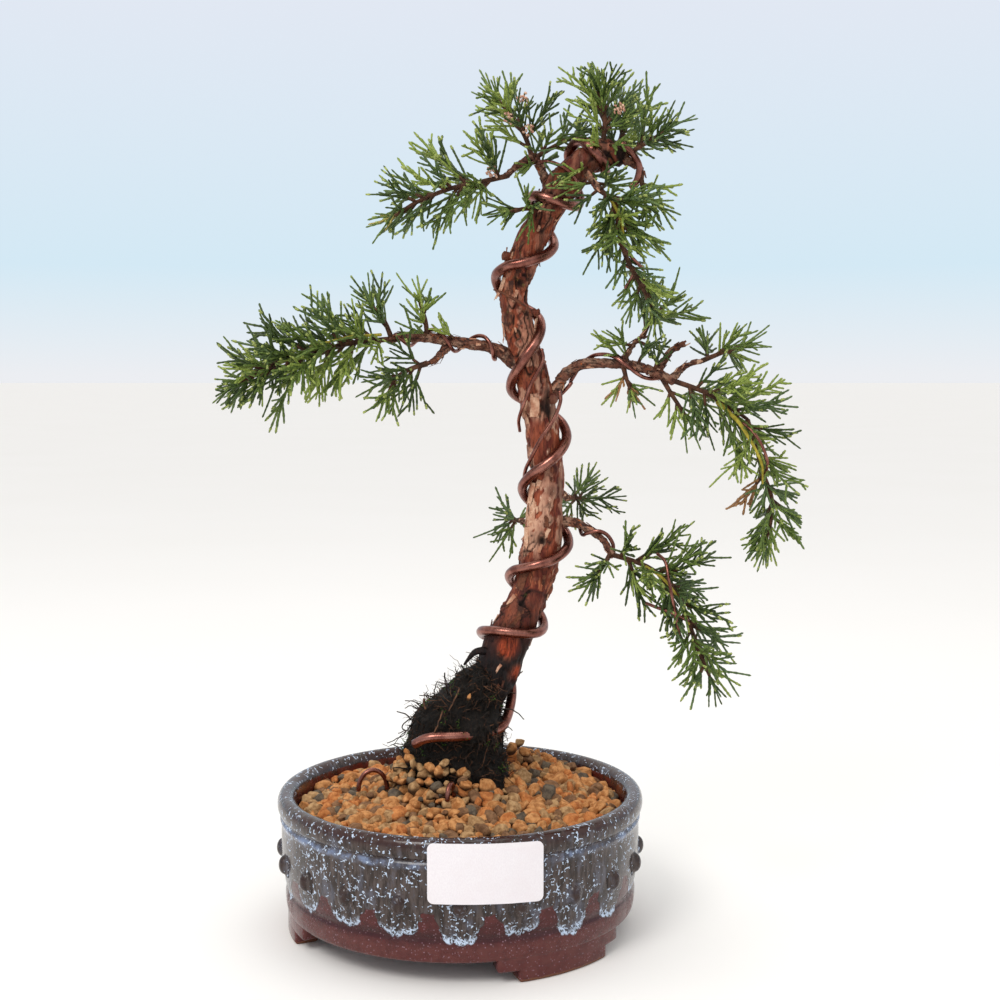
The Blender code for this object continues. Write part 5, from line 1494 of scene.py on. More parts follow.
def make_flakes(grid):
    """Thin plates and strips of bark that have come away at one end."""
    chance = random.Random("flakes")
    heaps = {"pale": Heap(), "dark": Heap()}
    centres = grid.mean(1)
    picks = []
    for spot in LARGE_FLAKES:
        away = np.linalg.norm(grid - np.array(spot), axis=2)
        picks.append((*np.unravel_index(away.argmin(), away.shape), True))
    for _ in range(FLAKES):
        picks.append((chance.randrange(60, len(grid) - 6), chance.randrange(grid.shape[1]), False))
    for i, k, large in picks:
        at = Vector(grid[i, k])
        out = (at - Vector(centres[i])).normalized()
        along = (Vector(centres[min(i + 5, len(grid) - 1)]) - Vector(centres[i - 5])).normalized()
        if chance.random() < 0.6:
            along = -along
        along = (along + out.cross(along) * chance.uniform(-0.3, 0.3)).normalized()
        side = along.cross(out).normalized()
        long = chance.uniform(6, 10) if large else chance.uniform(1.5, 4.5)
        wide = long * chance.uniform(0.3, 0.5)
        lift = chance.uniform(0.9, 1.8) if large else chance.uniform(0.15, 1.1)
        bow = -0.5 * wide * wide / 12
        rows = []
        for face in (0.12, -0.12):
            for j in range(5):
                t = j / 4
                for m in (-1, -0.33, 0.33, 1):
                    ragged = noise.noise(at + Vector((3 * m, 4 * t, 0))) * (0.25 + t)
                    width = wide / 2 * (1 - 0.45 * t * t) * m * (1 + 0.8 * ragged)
                    rise = 0.25 + lift * t * t + bow * m * m + face
                    ahead = long * (t - 0.3 + 0.25 * ragged)
                    rows.append(at + along * ahead + side * width + out * rise)
        top = grid_faces(5, 4, 0, False)
        under = grid_faces(5, 4, 20, False)[:, ::-1]
        rim = [0, 1, 2, 3, 7, 11, 15, 19, 18, 17, 16, 12, 8, 4]
        edge = [(a, a + 20, b + 20, b) for a, b in zip(rim, rim[1:] + rim[:1])]
        pale = chance.random() < by_height(at, *FLAKE_PALE)
        heaps["pale" if pale or (large and at.z > 140) else "dark"].add(rows, np.vstack([top, under, edge]))
    for points in BOUGHS.values():
        route = smooth_route(points, BARK_STEP)
        along, across, upward = frames(route)
        for _ in range(int(len(route) * 0.45)):
            k = chance.randrange(4, len(route))
            turn = chance.uniform(0, math.tau)
            out = round_way(across[k], upward[k], turn)
            foot = Vector(route[k, :3]) + out * (route[k, 3] + 0.1)
            way = (along[k] * chance.choice((-1, 1)) + out * chance.uniform(0.02, 0.22)).normalized()
            side = way.cross(out).normalized() * chance.uniform(0.35, 0.8)
            tip = foot + way * chance.uniform(1.4, 3.2)
            thick = side.cross(way).normalized() * 0.1
            strip = [foot - side, foot + side, tip + side * 0.35, tip - side * 0.6]
            strip += [corner + thick for corner in strip]
            box = ((3, 2, 1, 0), (4, 5, 6, 7), (0, 1, 5, 4), (1, 2, 6, 5), (2, 3, 7, 6), (3, 0, 4, 7))
            heaps[chance.choice(("pale", "dark", "dark"))].add(strip, box)
    finishes = {
        "pale": twig_finish("flake_pale", paint(172, 118, 92), paint(212, 172, 144), paint(128, 80, 60)),
        "dark": twig_finish("flake_dark", paint(62, 36, 28), paint(118, 70, 48), paint(38, 25, 21)),
    }
    heaps["dark"].add(*tube(smooth_route(SPLINTER, 0.8), 6))
    for name, heap in heaps.items():
        fit(heap.build("bark_flakes_" + name), "bark", finishes[name], angle=50)


def bough_relief(at):
    """Shaggy bark of the boughs: lengthwise strips, dark between them, orange where one is gone."""
    fibre = noise.noise(Vector((at.x / 3.5, at.y / 0.6, at.z / 0.6)))
    strip = noise.noise(Vector((at.x / 5.0, at.y / 1.1, at.z / 1.1)) + 0.4 * noise.noise_vector(at / 2.0))
    lump = noise.noise(at / 2.4)
    crack = 1 - ease(0.02, 0.16, abs(strip))
    pale = ease(-0.05, 0.3, noise.noise(at / 3.2))
    return 0.3 * lump + 0.2 * fibre + 0.34 * strip - 0.3 * crack, (pale, crack, 0.0)


def make_boughs():
    """Every bough from inside the limb that bears it, with a swollen collar."""
    boughs, tones = Heap(), []
    for points in BOUGHS.values():
        route = smooth_route(points, BARK_STEP)
        gone = distances(route[:, :3])
        route[:, 3] *= 1 + 0.35 * np.exp(-(((gone - points[0][3]) / 5) ** 2))
        tube_with_tone(boughs, tones, route, 22, bough_relief)
    made = boughs.build("boughs_bark")
    add_tones(made, tones)
    fit(made, "bark", bough_finish(), *BOUGHS)


# Wires


def trunk_wire_route(trunk_route, step):
    points = trunk_route[:, :3]
    lengths = distances(points)
    stops = [WIRE_START]
    for turn, (left, front, right) in enumerate(WIRE_TURNS):
        for quarter, at in ((0, left), (0.25, front), (0.5, right)):
            stops.append((turn + quarter, at))
    phases, places = np.array(stops).T
    route = [np.array((*p, WIRE_RADIUS)) for p in WIRE_FOOT]
    for phase in np.arange(phases[0] + 0.08, phases[-1] + 0.01, 1 / 12):
        at = np.interp(phase, phases, places)
        x, y, z, radius = (np.interp(at, lengths, trunk_route[:, i]) for i in range(4))
        ahead = [np.interp(at + 1.5, lengths, points[:, i]) for i in range(3)]
        behind = [np.interp(at - 1.5, lengths, points[:, i]) for i in range(3)]
        along = (Vector(ahead) - Vector(behind)).normalized()
        right = Vector((0, 1, 0)).cross(along).normalized()
        back = along.cross(right)
        angle = math.pi + math.tau * phase
        out = radius * 1.03 + WIRE_RADIUS + CLEAR + 0.15
        spot = Vector((x, y, z)) + round_way(right, back, angle) * out
        route.append(np.array((*spot, WIRE_RADIUS)))
    return smooth_route(route, step)


def spiral_route(limb_route, turns, start, end, first_angle):
    _, across, upward = frames(limb_route)
    count = round(abs(turns) * 14)
    route = []
    for k in range(count + 1):
        share = start + (end - start) * k / count
        index = share * (len(limb_route) - 1)
        i = min(int(index), len(limb_route) - 2)
        x, y, z, radius = limb_route[i] * (1 - index + i) + limb_route[i + 1] * (index - i)
        angle = math.radians(first_angle) - math.tau * turns * k / count
        way = round_way(across[i], upward[i], angle)
        out = radius + THIN_WIRE_RADIUS + CLEAR + 0.25
        route.append((*(Vector((x, y, z)) + way * out), THIN_WIRE_RADIUS))
    return np.array(route)


def tie_route(at, width, height, turn):
    foot = Vector((*at, soil_height(*at) + 1.6))
    way = Vector((math.cos(turn), math.sin(turn), 0))
    route = []
    for k in range(10):
        angle = math.pi * k / 9
        spot = foot + way * (-width / 2 * math.cos(angle)) + UP * (height * math.sin(angle))
        route.append((*spot, TIE_WIRE_RADIUS))
    return np.array(route)


WIRE_TAILS = {  # where each thin wire comes from, behind the trunk
    "wire_left": (25.4, 10.6, 207.0),
    "wire_right": (30.5, 12.4, 192.0),
    "wire_lower": (34.0, 13.6, 149.0),
}
EXTRA_WIRES = (  # thinner wires with no solid of their own: radius, then the points they pass
    (0.7, (
        (37.0, -4.5, 201.0), (37.2, -4.2, 197.0), (34.6, -4.6, 190.4), (30.1, -4.8, 183.7),
        (27.0, -3.6, 177.4), (24.6, 1.0, 172.0), (24.0, 7.0, 167.5),
    )),
    (0.65, (
        (30.2, -4.4, 216.5), (30.9, -4.6, 213.2), (29.7, -4.6, 209.9), (26.4, -4.6, 203.7),
        (24.0, -3.4, 197.0), (22.0, 0.5, 190.6), (22.4, 6.0, 186.0),
    )),
    (0.7, (
        (29.0, -7.5, 283.8), (32.5, -9.5, 283.6), (36.6, -11.2, 281.9), (40.0, -11.9, 279.6),
        (42.8, -11.6, 276.2),
    )),
    (1.25, (
        (58.5, -12.5, 289.5), (62.5, -12.5, 285.8), (64.9, -12.5, 281.1), (63.9, -12.0, 276.1),
        (61.8, -11.5, 274.4),
    )),
    (0.55, (
        (101.5, -22.0, 190.0), (105.0, -25.5, 186.6), (108.2, -26.0, 181.5), (110.2, -25.0, 176.0),
        (110.0, -22.0, 171.5),
    )),
    (0.6, (
        (72.0, -18.0, 142.5), (74.4, -23.0, 139.9), (75.4, -26.0, 133.5), (77.4, -27.0, 123.5),
        (79.5, -24.5, 113.1),
    )),
    (0.6, ((68.0, -19.0, 124.5), (72.0, -23.5, 123.4), (77.0, -25.8, 121.9), (82.7, -24.0, 118.8))),
    (0.6, ((52.6, -20, 258.5), (56.5, -22.5, 254.0), (61.5, -22.5, 248.6), (65.8, -21, 244.2))),
    (0.6, ((59.0, -21.5, 246.0), (62.4, -21.5, 243.6), (61.2, -20.5, 240.6), (59.5, -20, 237.8))),
)
YOUNG_STEMS = (  # radius at the foot, then the points they pass
    (0.9, (
        (94.5, -9, 197.0), (97.0, -17.0, 194.0), (100.5, -23.0, 189.6), (105.0, -25.0, 182.0),
        (108.4, -24.0, 175.0), (109.6, -19, 168.0),
    )),
    (0.6, ((68.0, -16, 137.5), (74.0, -19, 133.5), (79.0, -22, 127.0), (83.0, -24, 117.5))),
    (0.6, ((-28.0, -12, 221.5), (-40.0, -15.5, 220.4), (-53.0, -19, 216.8))),
    (0.6, ((53.5, -22, 270.0), (57.0, -25.5, 262.0), (58.5, -27.0, 254.0))),
)
CONES = ((23.3, -8, 306.0), (18.2, -8, 298.9), (25.1, -8, 295.3), (12.0, -11, 279.5), (57.5, -16, 301.0))
CONE_SCALES = 20


def make_wires(trunk_route, limbs):
    """The heavy wire round the trunk, the thin ones round the boughs and the two ties in the soil."""
    wires = Heap()
    wires.add(*tube(trunk_wire_route(trunk_route, 1.3), 14))
    for name, (limb, *course) in THIN_WIRES.items():
        tail = np.array([(*WIRE_TAILS[name], THIN_WIRE_RADIUS)])
        route = np.vstack([tail, spiral_route(limbs[limb], *course)])
        wires.add(*tube(smooth_route(route, 0.8), THIN_WIRE_SIDES))
    for course in TIE_WIRES.values():
        wires.add(*tube(smooth_route(tie_route(*course), 0.7), THIN_WIRE_SIDES))
    for radius, points in EXTRA_WIRES:
        wires.add(*tube(smooth_route([(*p, radius) for p in points], 0.8), THIN_WIRE_SIDES))
    made = wires.build("copper_wires")
    fit(made, "wire", wire_finish(), "wire_trunk", *THIN_WIRES, *TIE_WIRES)


def make_cones_and_stems():
    """Clusters of small tan cones near the top, and yellow-green young stems among the leaves."""
    chance = random.Random("cones")
    points, faces = stone_shapes(1, chance)[0]
    cones, stems = Heap(), Heap()
    for middle in CONES:
        for _ in range(CONE_SCALES):
            away = Vector([chance.gauss(0, 1) for _ in range(3)]).normalized() * chance.uniform(0.6, 2.4)
            size = np.array([chance.uniform(0.3, 0.6), chance.uniform(0.3, 0.6), chance.uniform(0.4, 0.8)])
            cones.add(points * size + np.array(Vector(middle) + away), faces)
    for radius, course in YOUNG_STEMS:
        route = smooth_route([(*p, radius * (1 - 0.12 * k)) for k, p in enumerate(course)], 0.9)
        stems.add(*tube(route, 8))
    finish = thread_finish("cone", paint(178, 126, 104), paint(224, 188, 164))
    fit(cones.build("cones"), "foliage", finish)
    finish = thread_finish("young_stem", paint(146, 132, 40), paint(182, 166, 66))
    fit(stems.build("young_stems"), "foliage", finish)


# Room between pieces


class Room:
    """The limbs and shoots made so far, as rods, for telling how near a new one comes."""

    def __init__(self):
        self.starts = np.zeros((0, 3))
        self.ends = np.zeros((0, 3))
        self.radii = np.zeros(0)
        self.owners = np.zeros(0, int)
        self.names = []

    def add(self, rods, owner):
        if owner not in self.names:
            self.names.append(owner)
        starts, ends, radii = zip(*rods)
        self.starts = np.vstack([self.starts, np.array(starts, float)])
        self.ends = np.vstack([self.ends, np.array(ends, float)])
        self.radii = np.concatenate([self.radii, np.array(radii, float)])
        self.owners = np.concatenate([self.owners, np.full(len(radii), self.names.index(owner))])

    def add_route(self, route, owner):
        self.add([(a[:3], b[:3], max(a[3], b[3])) for a, b in zip(route, route[1:])], owner)

    def is_free(self, start, end, radius, owner, gap=CLEAR + 0.1):
        """Whether a rod keeps clear of every other piece than its own."""
        reach = np.linalg.norm(np.subtract(end, start)) + radius + 12
        near = np.linalg.norm(self.starts - start, axis=1) < reach
        near &= self.owners != self.names.index(owner)
        if not near.any():
            return True
        apart = rod_distance(start, end, self.starts[near], self.ends[near])
        return bool((apart > self.radii[near] + radius + gap).all())

    def clear_of(self, points):
        """How far the nearest of these points stands clear of everything."""
        axis = self.ends - self.starts
        length = np.linalg.norm(axis, axis=1)
        axis = axis / length[:, None]
        least = math.inf
        for point in points:
            away = np.array(point) - self.starts
            run = (away * axis).sum(1)
            beyond = np.maximum(np.maximum(-run, run - length), 0)
            beside = np.linalg.norm(away - run[:, None] * axis, axis=1) - self.radii
            least = min(least, float(np.hypot(beyond, np.maximum(beside, 0)).min()))
        return least

    def trimmed(self, points, step):
        """The route through these points, from where its flat end first stands clear of the rest."""
        fine = smooth_route(points, 0.25)
        along, across, upward = frames(fine)
        first = 0
        for i, (x, y, z, radius) in enumerate(fine):
            ring = [(x, y, z)]
            for k in range(8):
                way = round_way(across[i], upward[i], math.tau * k / 8)
                ring.append(Vector((x, y, z)) + way * radius)
            if self.clear_of(ring) < CLEAR:
                first = i + 1
        start, heading = fine[first], np.array(along[first])
        ahead = [p for p in np.array(points)[1:] if (p[:3] - start[:3]) @ heading > 1]
        return smooth_route([start, *ahead], step)


def rod_distance(start, end, starts, ends):
    """The least distance from one line segment to each of the others."""
    p, d1 = np.array(start, float), np.subtract(end, start)
    d2 = ends - starts
    r = p - starts
    a = float(d1 @ d1)
    e = np.maximum((d2 * d2).sum(1), 1e-9)
    f = (d2 * r).sum(1)
    c = r @ d1
    b = d2 @ d1
    bottom = a * e - b * b
    s = np.clip((b * f - c * e) / np.where(bottom > 1e-9, bottom, 1), 0, 1)
    t = np.clip((b * s + f) / e, 0, 1)
    s = np.clip((b * t - c) / max(a, 1e-9), 0, 1)
    return np.linalg.norm(r + s[:, None] * d1 - t[:, None] * d2, axis=1)


# Foliage


def frond_rule(stem, reaches, lift, gap, chance):
    """The fronds of one stem: (foot, way, reach, flat side) in turn, the last one at its tip."""
    points = [Vector(p) for p in stem[:, :3]]
    lengths = np.concatenate([[0], np.cumsum([(b - a).length for a, b in zip(points, points[1:])])])
    along, across, upward = frames(stem)
    whole = lengths[-1]
    count = max(2, round(whole / gap))
    turn = chance.uniform(0, math.tau)
    fronds = []
    for k in range(count):
        share = (k + 0.5) / (count + 0.3)
        i = int(np.searchsorted(lengths, share * whole, side="right")) - 1
        part = (share * whole - lengths[i]) / (lengths[i + 1] - lengths[i])
        foot = points[i].lerp(points[i + 1], part)
        turn += GOLDEN_ANGLE
        out = round_way(across[i], upward[i], turn)
        angle = FROND_ANGLE * chance.uniform(0.85, 1.15) * (1 - 0.35 * share)
        way = (along[i] * math.cos(angle) + out * math.sin(angle) + UP * lift).normalized()
        reach = float(np.interp(share, (0, 0.5, 1), reaches)) * chance.uniform(0.85, 1.05)
        flat = Quaternion(way, chance.uniform(-0.8, 0.8)) @ way.cross(out).normalized()
        fronds.append((foot, way, reach, flat))
    way = (along[-1] + UP * lift * 0.5).normalized()
    fronds.append((points[-1], way, reaches[2], way.orthogonal().normalized()))
    return fronds


def shoot_rule(foot, way, reach, flat, chance):
    """The shoots of one frond, in pairs: (point on its middle line, left tip, right tip)."""
    face = way.cross(flat)
    pairs = max(1, round((reach - 4.0) / SHOOT_GAP))
    shoots = []
    for k in range(pairs):
        share = (k + 0.45) / (pairs + 0.25)
        middle = foot + way * (reach * share)
        tips = []
        for side in (-1, 1):
            angle = SHOOT_ANGLE * chance.uniform(0.8, 1.2)
            aim = way * math.cos(angle) + flat * (side * math.sin(angle))
            aim += face * chance.uniform(-0.35, 0.35)
            length = min(SHOOT_LENGTH, reach * 0.8) * chance.uniform(0.8, 1.05) * (1 - 0.25 * share)
            tips.append(middle + aim.normalized() * length)
        shoots.append((middle, *tips))
    return shoots


BEAD = 1.75  # length of one pair of scale leaves
CORD_WIDTHS = (0.60, 0.55, 0.49)  # half widths of a frond's axis, its shoots and the side shoots
SIDE_GAPS = (2.0, 4.6)  # between the shoots along a frond, and along one of the rule's shoots
SIDE_LENGTHS = ((6.5, 13.0), (3.5, 7.5))  # of those shoots
SIDE_ANGLE = math.radians(35)
MARGIN = 0.8  # foliage stays this far inside the box round the solids
FINE_CLEAR = 0.05  # between the finer cords of two masses
TINTS = {  # one plain colour each, and its darker grain
    "deep": (paint(72, 90, 40), paint(46, 62, 27)),
    "mid": (paint(106, 126, 56), paint(70, 88, 37)),
    "blue": (paint(96, 116, 66), paint(62, 82, 46)),
    "fresh": (paint(146, 162, 76), paint(110, 128, 54)),
    "tips": (paint(166, 176, 98), paint(130, 142, 72)),
    "dead": (paint(168, 124, 80), paint(128, 90, 56)),
    "straw": (paint(176, 164, 92), paint(142, 128, 68)),
}
TINT_SHARES = {"deep": 0.24, "mid": 0.38, "blue": 0.20, "fresh": 0.18}
DENSE = ("foliage_left_outer", "foliage_apex_top", "foliage_apex_right", "foliage_droop_upper")
SPARSE = (
    "foliage_right_tip", "foliage_left_top", "foliage_left_inner", "foliage_top_high",
    "foliage_lower_inner",
)
DEAD_SHARE = 0.012
DEAD_SHARES = {"foliage_left_hanging": 0.3, "foliage_right_near": 0.35, "foliage_top_low": 0.05}
SPRIGS = {  # small sprays that start on a limb ahead of the mass: foot, way and reach
    "foliage_droop_upper": (
        ((46.0, -10.5, 281.5), (-0.5, -0.8, -0.3), 9.0),
        ((47.5, -13.0, 278.0), (0.5, -0.8, -0.1), 10.0),
        ((48.6, -15.5, 275.6), (-0.9, -0.4, -0.2), 12.0),
        ((48.8, -15.8, 275.0), (0.9, -0.3, -0.1), 11.0),
        ((50.0, -17.5, 272.8), (-0.7, -0.5, -0.6), 12.0),
        ((50.3, -17.8, 272.4), (0.6, -0.7, 0.4), 10.0),
        ((42.0, -12.5, 279.8), (-0.8, -0.6, -0.5), 7.0),
    ),
    "foliage_apex_top": (
        ((51.0, -12.5, 288.0), (-0.4, -0.8, 0.3), 9.0),
        ((54.5, -12.8, 289.0), (0.4, -0.8, -0.1), 9.0),
        ((48.0, -11.5, 289.5), (-0.7, -0.5, 0.6), 10.0),
        ((52.0, -9.0, 294.0), (0.8, -0.5, 0.5), 12.0),
    ),
    "foliage_top_inner": (
        ((29.5, -5.0, 283.5), (0.5, -0.8, 0.1), 8.0),
        ((27.4, -4.2, 286.0), (0.2, -0.8, 0.5), 9.0),
        ((28.6, -4.5, 284.5), (-0.6, -0.7, -0.4), 9.0),
    ),
    "foliage_trunk_sprig": (
        ((27.0, -10.0, 268.0), (-0.25, -0.4, -0.9), 9.0),
        ((26.0, -9.6, 268.0), (0.4, -0.8, -0.3), 6.0),
    ),
    "foliage_right_inner": (
        ((62.0, -3.0, 212.5), (-0.3, -0.5, 0.9), 11.0),
        ((66.0, -4.0, 211.5), (0.3, -0.6, 0.8), 10.0),
        ((72.0, -5.0, 209.5), (0.1, -0.7, 0.7), 10.0),
        ((64.5, 3.0, 218.0), (-0.9, -0.4, 0.1), 14.0),
        ((66.0, 3.0, 219.5), (0.7, -0.6, -0.3), 12.0),
        ((60.0, 0.0, 213.0), (-0.8, -0.5, 0.6), 8.0),
    ),
    "foliage_left_inner": (
        ((-2.0, -5.0, 220.5), (-0.5, -0.6, 0.4), 8.0),
        ((-12.0, -8.0, 221.5), (-0.6, -0.7, 0.2), 9.0),
    ),
}


class Cords:
    """Cord-like shoots of one tint, kept as numbers until they are all built together."""

    def __init__(self):
        self.rows = []

    def add(self, start, way, bend, length, half, side):
        """Keeps a cord, cut shorter until it ends inside the box round the solids."""
        low, high = (Vector(corner) / MM - MIDDLE for corner in SOLID_BOX)
        for _ in range(12):
            end = start + (way + bend) * length
            if all(a + MARGIN < v < b - MARGIN for a, v, b in zip(low, end, high)):
                self.rows.append((*start, *way, *bend, length, half, *side))
                return
            length *= 0.85

    def build(self, name):
        """All the cords as one mesh: rows of scale leaves with four corners to a ring."""
        rows = np.array(self.rows)
        heap = Heap()
        beads = np.maximum(2, np.round(rows[:, 9] / BEAD)).astype(int)
        for count in np.unique(beads):
            some = rows[beads == count]
            start, way, bend, side = some[:, 0:3], some[:, 3:6], some[:, 6:9], some[:, 11:14]
            length, half = some[:, 9], some[:, 10]
            shares, wide, tall = [], [], []
            for k in range(count):
                taper = 1 - 0.28 * (k / count) ** 2
                swell = (1.12, 0.92) if k % 2 else (0.92, 1.12)
                shares += [k / count, (k + 0.72) / count]
                wide += [0.84 * taper, swell[0] * taper]
                tall += [0.84 * taper, swell[1] * taper]
            shares, wide, tall = shares + [1.0], wide + [0.3], tall + [0.3]
            shares = np.array(shares)[None, :, None]
            centre = start[:, None] + way[:, None] * (length[:, None, None] * shares)
            centre = centre + bend[:, None] * (length[:, None, None] * shares**2)
            heading = way + bend
            first = side - heading * ((side * heading).sum(1) / (heading**2).sum(1))[:, None]
            first /= np.linalg.norm(first, axis=1)[:, None]
            second = np.cross(heading, first)
            second /= np.linalg.norm(second, axis=1)[:, None]
            out_a = first[:, None] * (np.array(wide)[None, :] * half[:, None])[..., None]
            out_b = second[:, None] * (np.array(tall)[None, :] * half[:, None])[..., None]
            rings = np.stack([centre + out_a, centre + out_b, centre - out_a, centre - out_b], 2)
            number, rows_each = len(some), len(wide)
            faces = grid_faces(rows_each, 4)
            last = (rows_each - 1) * 4
            faces = np.vstack([faces, [[3, 2, 1, 0], [last, last + 1, last + 2, last + 3]]])
            starts = np.arange(number)[:, None, None] * (rows_each * 4)
            heap.add(rings.reshape(-1, 3), (faces[None] + starts).reshape(-1, 4))
        return heap.build(name)


def side_shoots(cords, axis, reach, gap, lengths, fan, tips, chance, free):
    """Shoots all round an axis (its foot, way and bend), pointing forwards, each a little shorter."""
    foot, way, bend = axis
    across = way.orthogonal().normalized()
    upward = way.cross(across)
    turn = chance.uniform(0, math.tau)
    count = int(reach / gap)
    for k in range(count):
        share = (k + 0.8) / (count + 0.3)
        root = foot + way * (reach * share) + bend * (reach * share**2)
        turn += GOLDEN_ANGLE
        out = round_way(across, upward, turn)
        out = (out + fan * (0.3 if out.dot(fan) > 0 else -0.3)).normalized()
        angle = SIDE_ANGLE * chance.uniform(0.6, 1.25)
        aim = way * math.cos(angle) + out * math.sin(angle)
        length = chance.uniform(*lengths) * (1 - 0.4 * share) * (1.3 if chance.random() < 0.15 else 1)
        if free(root, root + aim * length):
            curl = way * chance.uniform(-0.05, 0.3) + UP * chance.uniform(-0.08, 0.12)
            cords.add(root, aim, curl, length, CORD_WIDTHS[2], fan)
            tip_cap(tips, root, aim, curl, length, CORD_WIDTHS[2], fan, chance)


def grow_spray(cords, foot, way, reach, flat, shoots, tint, chance, free):
    """One frond in full: its axis, the rule's shoots with side shoots, and finer ones between."""
    face = way.cross(flat)
    sag = UP * chance.uniform(-0.06, 0.10)
    leaves, tips = cords[tint], cords["tips" if tint not in ("dead", "straw") else tint]
    leaves.add(foot, way, sag, reach, CORD_WIDTHS[0], flat)
    tip_cap(tips, foot, way, sag, reach, CORD_WIDTHS[0], flat, chance)
    for middle, *ends in shoots:
        start = middle + sag * ((middle - foot).length ** 2 / reach)
        for end in ends:
            if end is None:
                continue
            long = (end - middle).length
            aim = (end - middle).normalized()
            curl = way * 0.12 + face * chance.uniform(-0.08, 0.08)
            leaves.add(start, aim, curl, long, CORD_WIDTHS[1], flat)
            tip_cap(tips, start, aim, curl, long, CORD_WIDTHS[1], flat, chance)
            axis = (start, aim, curl)
            side_shoots(leaves, axis, long, SIDE_GAPS[1], SIDE_LENGTHS[1], face, tips, chance, free)
    side_shoots(leaves, (foot, way, sag), reach, SIDE_GAPS[0], SIDE_LENGTHS[0], flat, tips, chance, free)


def tip_cap(tips, start, way, bend, length, half, side, chance):
    """A short paler end over the last scale leaves of a few of the shoots."""
    if chance.random() > 0.4:
        return
    part = 1.6 / length
    at = start + way * (length * (1 - part)) + bend * (length * (1 - part) ** 2)
    heading = way + bend * 2
    tips.add(at, heading, bend * 0, 1.75 / heading.length, half * 1.02, side)


def free_shoots(shoots, test):
    """The same shoots, with None in place of each tip that does not pass the test."""
    return [(middle, *(tip if test(middle, tip) else None for tip in tips)) for middle, *tips in shoots]


def source_fronds(name, stem, room):
    """The fronds of a mass that the part's source has too; the room then knows of them."""
    _, reaches, lift, gap = MASSES[name]
    chance = random.Random(name)
    rods, fronds = [], []
    for foot, way, longest, flat in frond_rule(stem, reaches, lift, gap, chance):
        lengths = [longest * share for share in FROND_SHARES]
        clear = [reach for reach in lengths if room.is_free(foot, foot + way * reach, FROND_CORE, name)]
        if not clear:
            continue
        reach = clear[0]
        shoots = shoot_rule(foot, way, reach, flat, chance)
        kept = free_shoots(shoots, lambda middle, tip: room.is_free(middle, tip, SHOOT_WIDTH, name))
        rods.append((foot, foot + way * reach, FROND_CORE))
        for middle, *tips in kept:
            rods += [(middle, tip, SHOOT_WIDTH) for tip in tips if tip is not None]
        fronds.append((foot, way, reach, flat, kept))
    room.add(rods, name)
    return fronds


def extra_fronds(name, stem, room, free, chance):
    """Finer fronds between those, where there is room, and the sprigs."""
    _, reaches, lift, gap = MASSES[name]
    spread = 0.5 if name in DENSE else 1.3 if name in SPARSE else 0.95
    extra = []
    for foot, way, longest, flat in frond_rule(stem, [r * 0.85 for r in reaches], lift, gap * spread, chance):
        reach = longest * chance.uniform(0.7, 1.0)
        if room.is_free(foot, foot + way * reach, CORD_WIDTHS[0], name, FINE_CLEAR):
            shoots = shoot_rule(foot, way, reach, flat, chance)
            extra.append((foot, way, reach, flat, free_shoots(shoots, free)))
    for foot, way, reach in SPRIGS.get(name, ()):
        foot, way = Vector(foot), Vector(way).normalized()
        flat = way.orthogonal().normalized()
        extra.append((foot, way, reach, flat, shoot_rule(foot, way, reach, flat, chance)))
    return extra


def make_foliage(stems, room):
    """Every mass: the source's fronds, then more between them, dealt out to the tints."""
    cords = {tint: Cords() for tint in TINTS}
    twigs = Heap()
    for name, stem in stems.items():
        fronds = source_fronds(name, stem, room)
        finer = random.Random(name + " finer")

        def free(start, end, owner=name):
            return room.is_free(start, end, CORD_WIDTHS[2], owner, FINE_CLEAR)

        for foot, way, reach, flat, shoots in fronds + extra_fronds(name, stem, room, free, finer):
            tint = finer.choices(list(TINT_SHARES), list(TINT_SHARES.values()))[0]
            if finer.random() < DEAD_SHARES.get(name, DEAD_SHARE):
                tint = finer.choice(("dead", "straw"))
            if reach > 5:
                bare = smooth_route(((*foot, 0.72), (*(foot + way * (0.32 * reach)), 0.6)), 3.0)
                twigs.add(*tube(bare, 5))
            grow_spray(cords, foot, way, reach, flat, shoots, tint, finer, free)
        course = MASSES[name][0]
        radii = np.linspace(*STEM_RADII, len(course)) * 0.86
        twigs.add(*tube(smooth_route([(*p, r) for p, r in zip(course, radii)], 2.0), 8))
    for tint, group in cords.items():
        fit(group.build("shoots_" + tint), "foliage", leaf_finish("leaf_" + tint, *TINTS[tint]), *MASSES)
    finish = twig_finish("twig_bark", paint(60, 38, 27), paint(98, 64, 46), paint(44, 29, 22))
    fit(twigs.build("twigs"), "bark", finish)


# Floor, light and camera


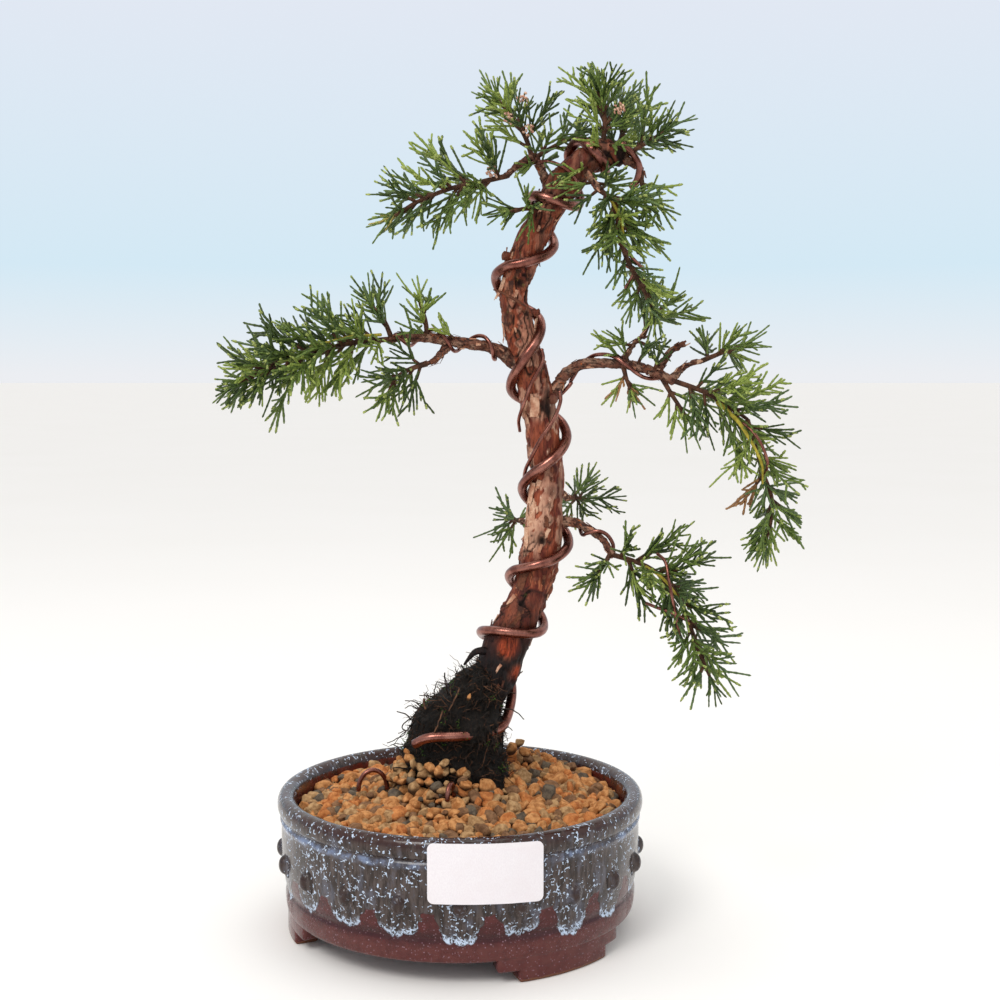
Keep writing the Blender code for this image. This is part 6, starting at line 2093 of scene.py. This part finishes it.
def make_studio():
    """A pale floor, a sky that is white low down and bluer above, and three lamps (metres, watts)."""
    floor = start_shape(bpy.ops.mesh.primitive_plane_add, size=80)
    floor.name = "floor"
    f = Finish("pale_floor", Roughness=0.95)
    f.set(Base_Color=f.mix(f.noise(300.0, 2.0), paint(246, 244, 242), paint(243, 241, 238)))
    floor.data.materials.append(f.made)
    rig.stage(floor)
    bpy.context.scene.view_settings.view_transform = "Standard"
    world = bpy.data.worlds.new("studio")
    bpy.context.scene.world = world
    world.use_nodes = True
    tree = world.node_tree
    back = tree.nodes["Background"]
    ramp = tree.nodes.new("ShaderNodeValToRGB")
    split = tree.nodes.new("ShaderNodeSeparateXYZ")
    coords = tree.nodes.new("ShaderNodeTexCoord")
    tree.links.new(coords.outputs["Generated"], split.inputs[0])
    tree.links.new(split.outputs["Z"], ramp.inputs[0])
    tree.links.new(ramp.outputs["Color"], back.inputs["Color"])
    stops = ramp.color_ramp.elements
    stops[0].position, stops[0].color = 0.0, paint(236, 238, 242)
    stops[1].position, stops[1].color = 0.07, paint(212, 233, 245)
    for position, colour in ((0.24, paint(226, 232, 243)), (0.45, paint(255, 254, 252))):
        stops.new(position).color = colour
    back.inputs["Strength"].default_value = 1.0
    for name, at, size, power, colour in (
        ("key", (-0.45, -0.75, 0.95), 0.5, 5.4, (1.0, 0.98, 0.95)),
        ("fill", (0.8, -0.5, 0.5), 0.8, 0.35, (0.93, 0.96, 1.0)),
        ("top", (0.05, 0.1, 1.1), 0.5, 1.3, (1.0, 1.0, 1.0)),
    ):
        light = bpy.data.lights.new(name, "AREA")
        light.shape = "DISK"
        light.size = size
        light.energy = power
        light.color = colour
        lamp = bpy.data.objects.new(name, light)
        bpy.context.scene.collection.objects.link(lamp)
        lamp.location = at
        lamp.rotation_euler = (Vector((0, 0, 0.15)) - Vector(at)).to_track_quat("-Z", "Y").to_euler()


SENSOR = 36.0
FOCAL_SHARE = 1.5056  # focal length as a share of the sensor's width
CAMERA_PLACE = (14.98, -560.0, 206.9)
CAMERA_DROP = 0.0827  # radians below the level


def make_camera():
    camera = bpy.data.objects.new("camera", bpy.data.cameras.new("camera"))
    bpy.context.scene.collection.objects.link(camera)
    camera.location = (MIDDLE + Vector(CAMERA_PLACE)) * MM
    camera.rotation_euler = (math.pi / 2 - CAMERA_DROP, 0, 0)
    camera.data.sensor_width = SENSOR
    camera.data.lens = SENSOR * FOCAL_SHARE
    camera.data.clip_start = 0.01
    camera.data.clip_end = 200
    bpy.context.scene.camera = camera


def main():
    """Lays out the limbs, wires and stems as the part's source does, then builds every piece."""
    trunk_route = smooth_route(TRUNK, 7.5)
    room = Room()
    widest = trunk_route.copy()
    widest[:, 3] *= 1.03
    room.add_route(widest, "trunk")
    limbs = {}
    wired = {limb: (name, course) for name, (limb, *course) in THIN_WIRES.items()}
    for name in sorted(BOUGHS, key=lambda limb: limb not in wired):
        limbs[name] = room.trimmed(BOUGHS[name], 4.0)
        room.add_route(limbs[name], name)
        if name in wired:
            wire, course = wired[name]
            room.add_route(spiral_route(limbs[name], *course), wire)
    room.add_route(trunk_wire_route(trunk_route, 5.0), "wire_trunk")
    stems = {}
    for name, (route, *_) in MASSES.items():
        radii = np.linspace(STEM_RADII[0], STEM_RADII[1], len(route))
        stems[name] = room.trimmed([(*p, r) for p, r in zip(route, radii)], 8.5)
        room.add_route(stems[name], name)

    make_pot()
    make_label()
    make_bed()
    make_stones()
    make_root_mass()
    make_flakes(make_trunk())
    make_boughs()
    make_wires(trunk_route, limbs)
    make_cones_and_stems()
    make_foliage(stems, room)
    make_studio()
    make_camera()


main()
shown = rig.bounds()
with open("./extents.json", "w") as out:
    json.dump({"solids": [list(v) for v in SOLID_BOX], "shown": [list(v) for v in shown]}, out)
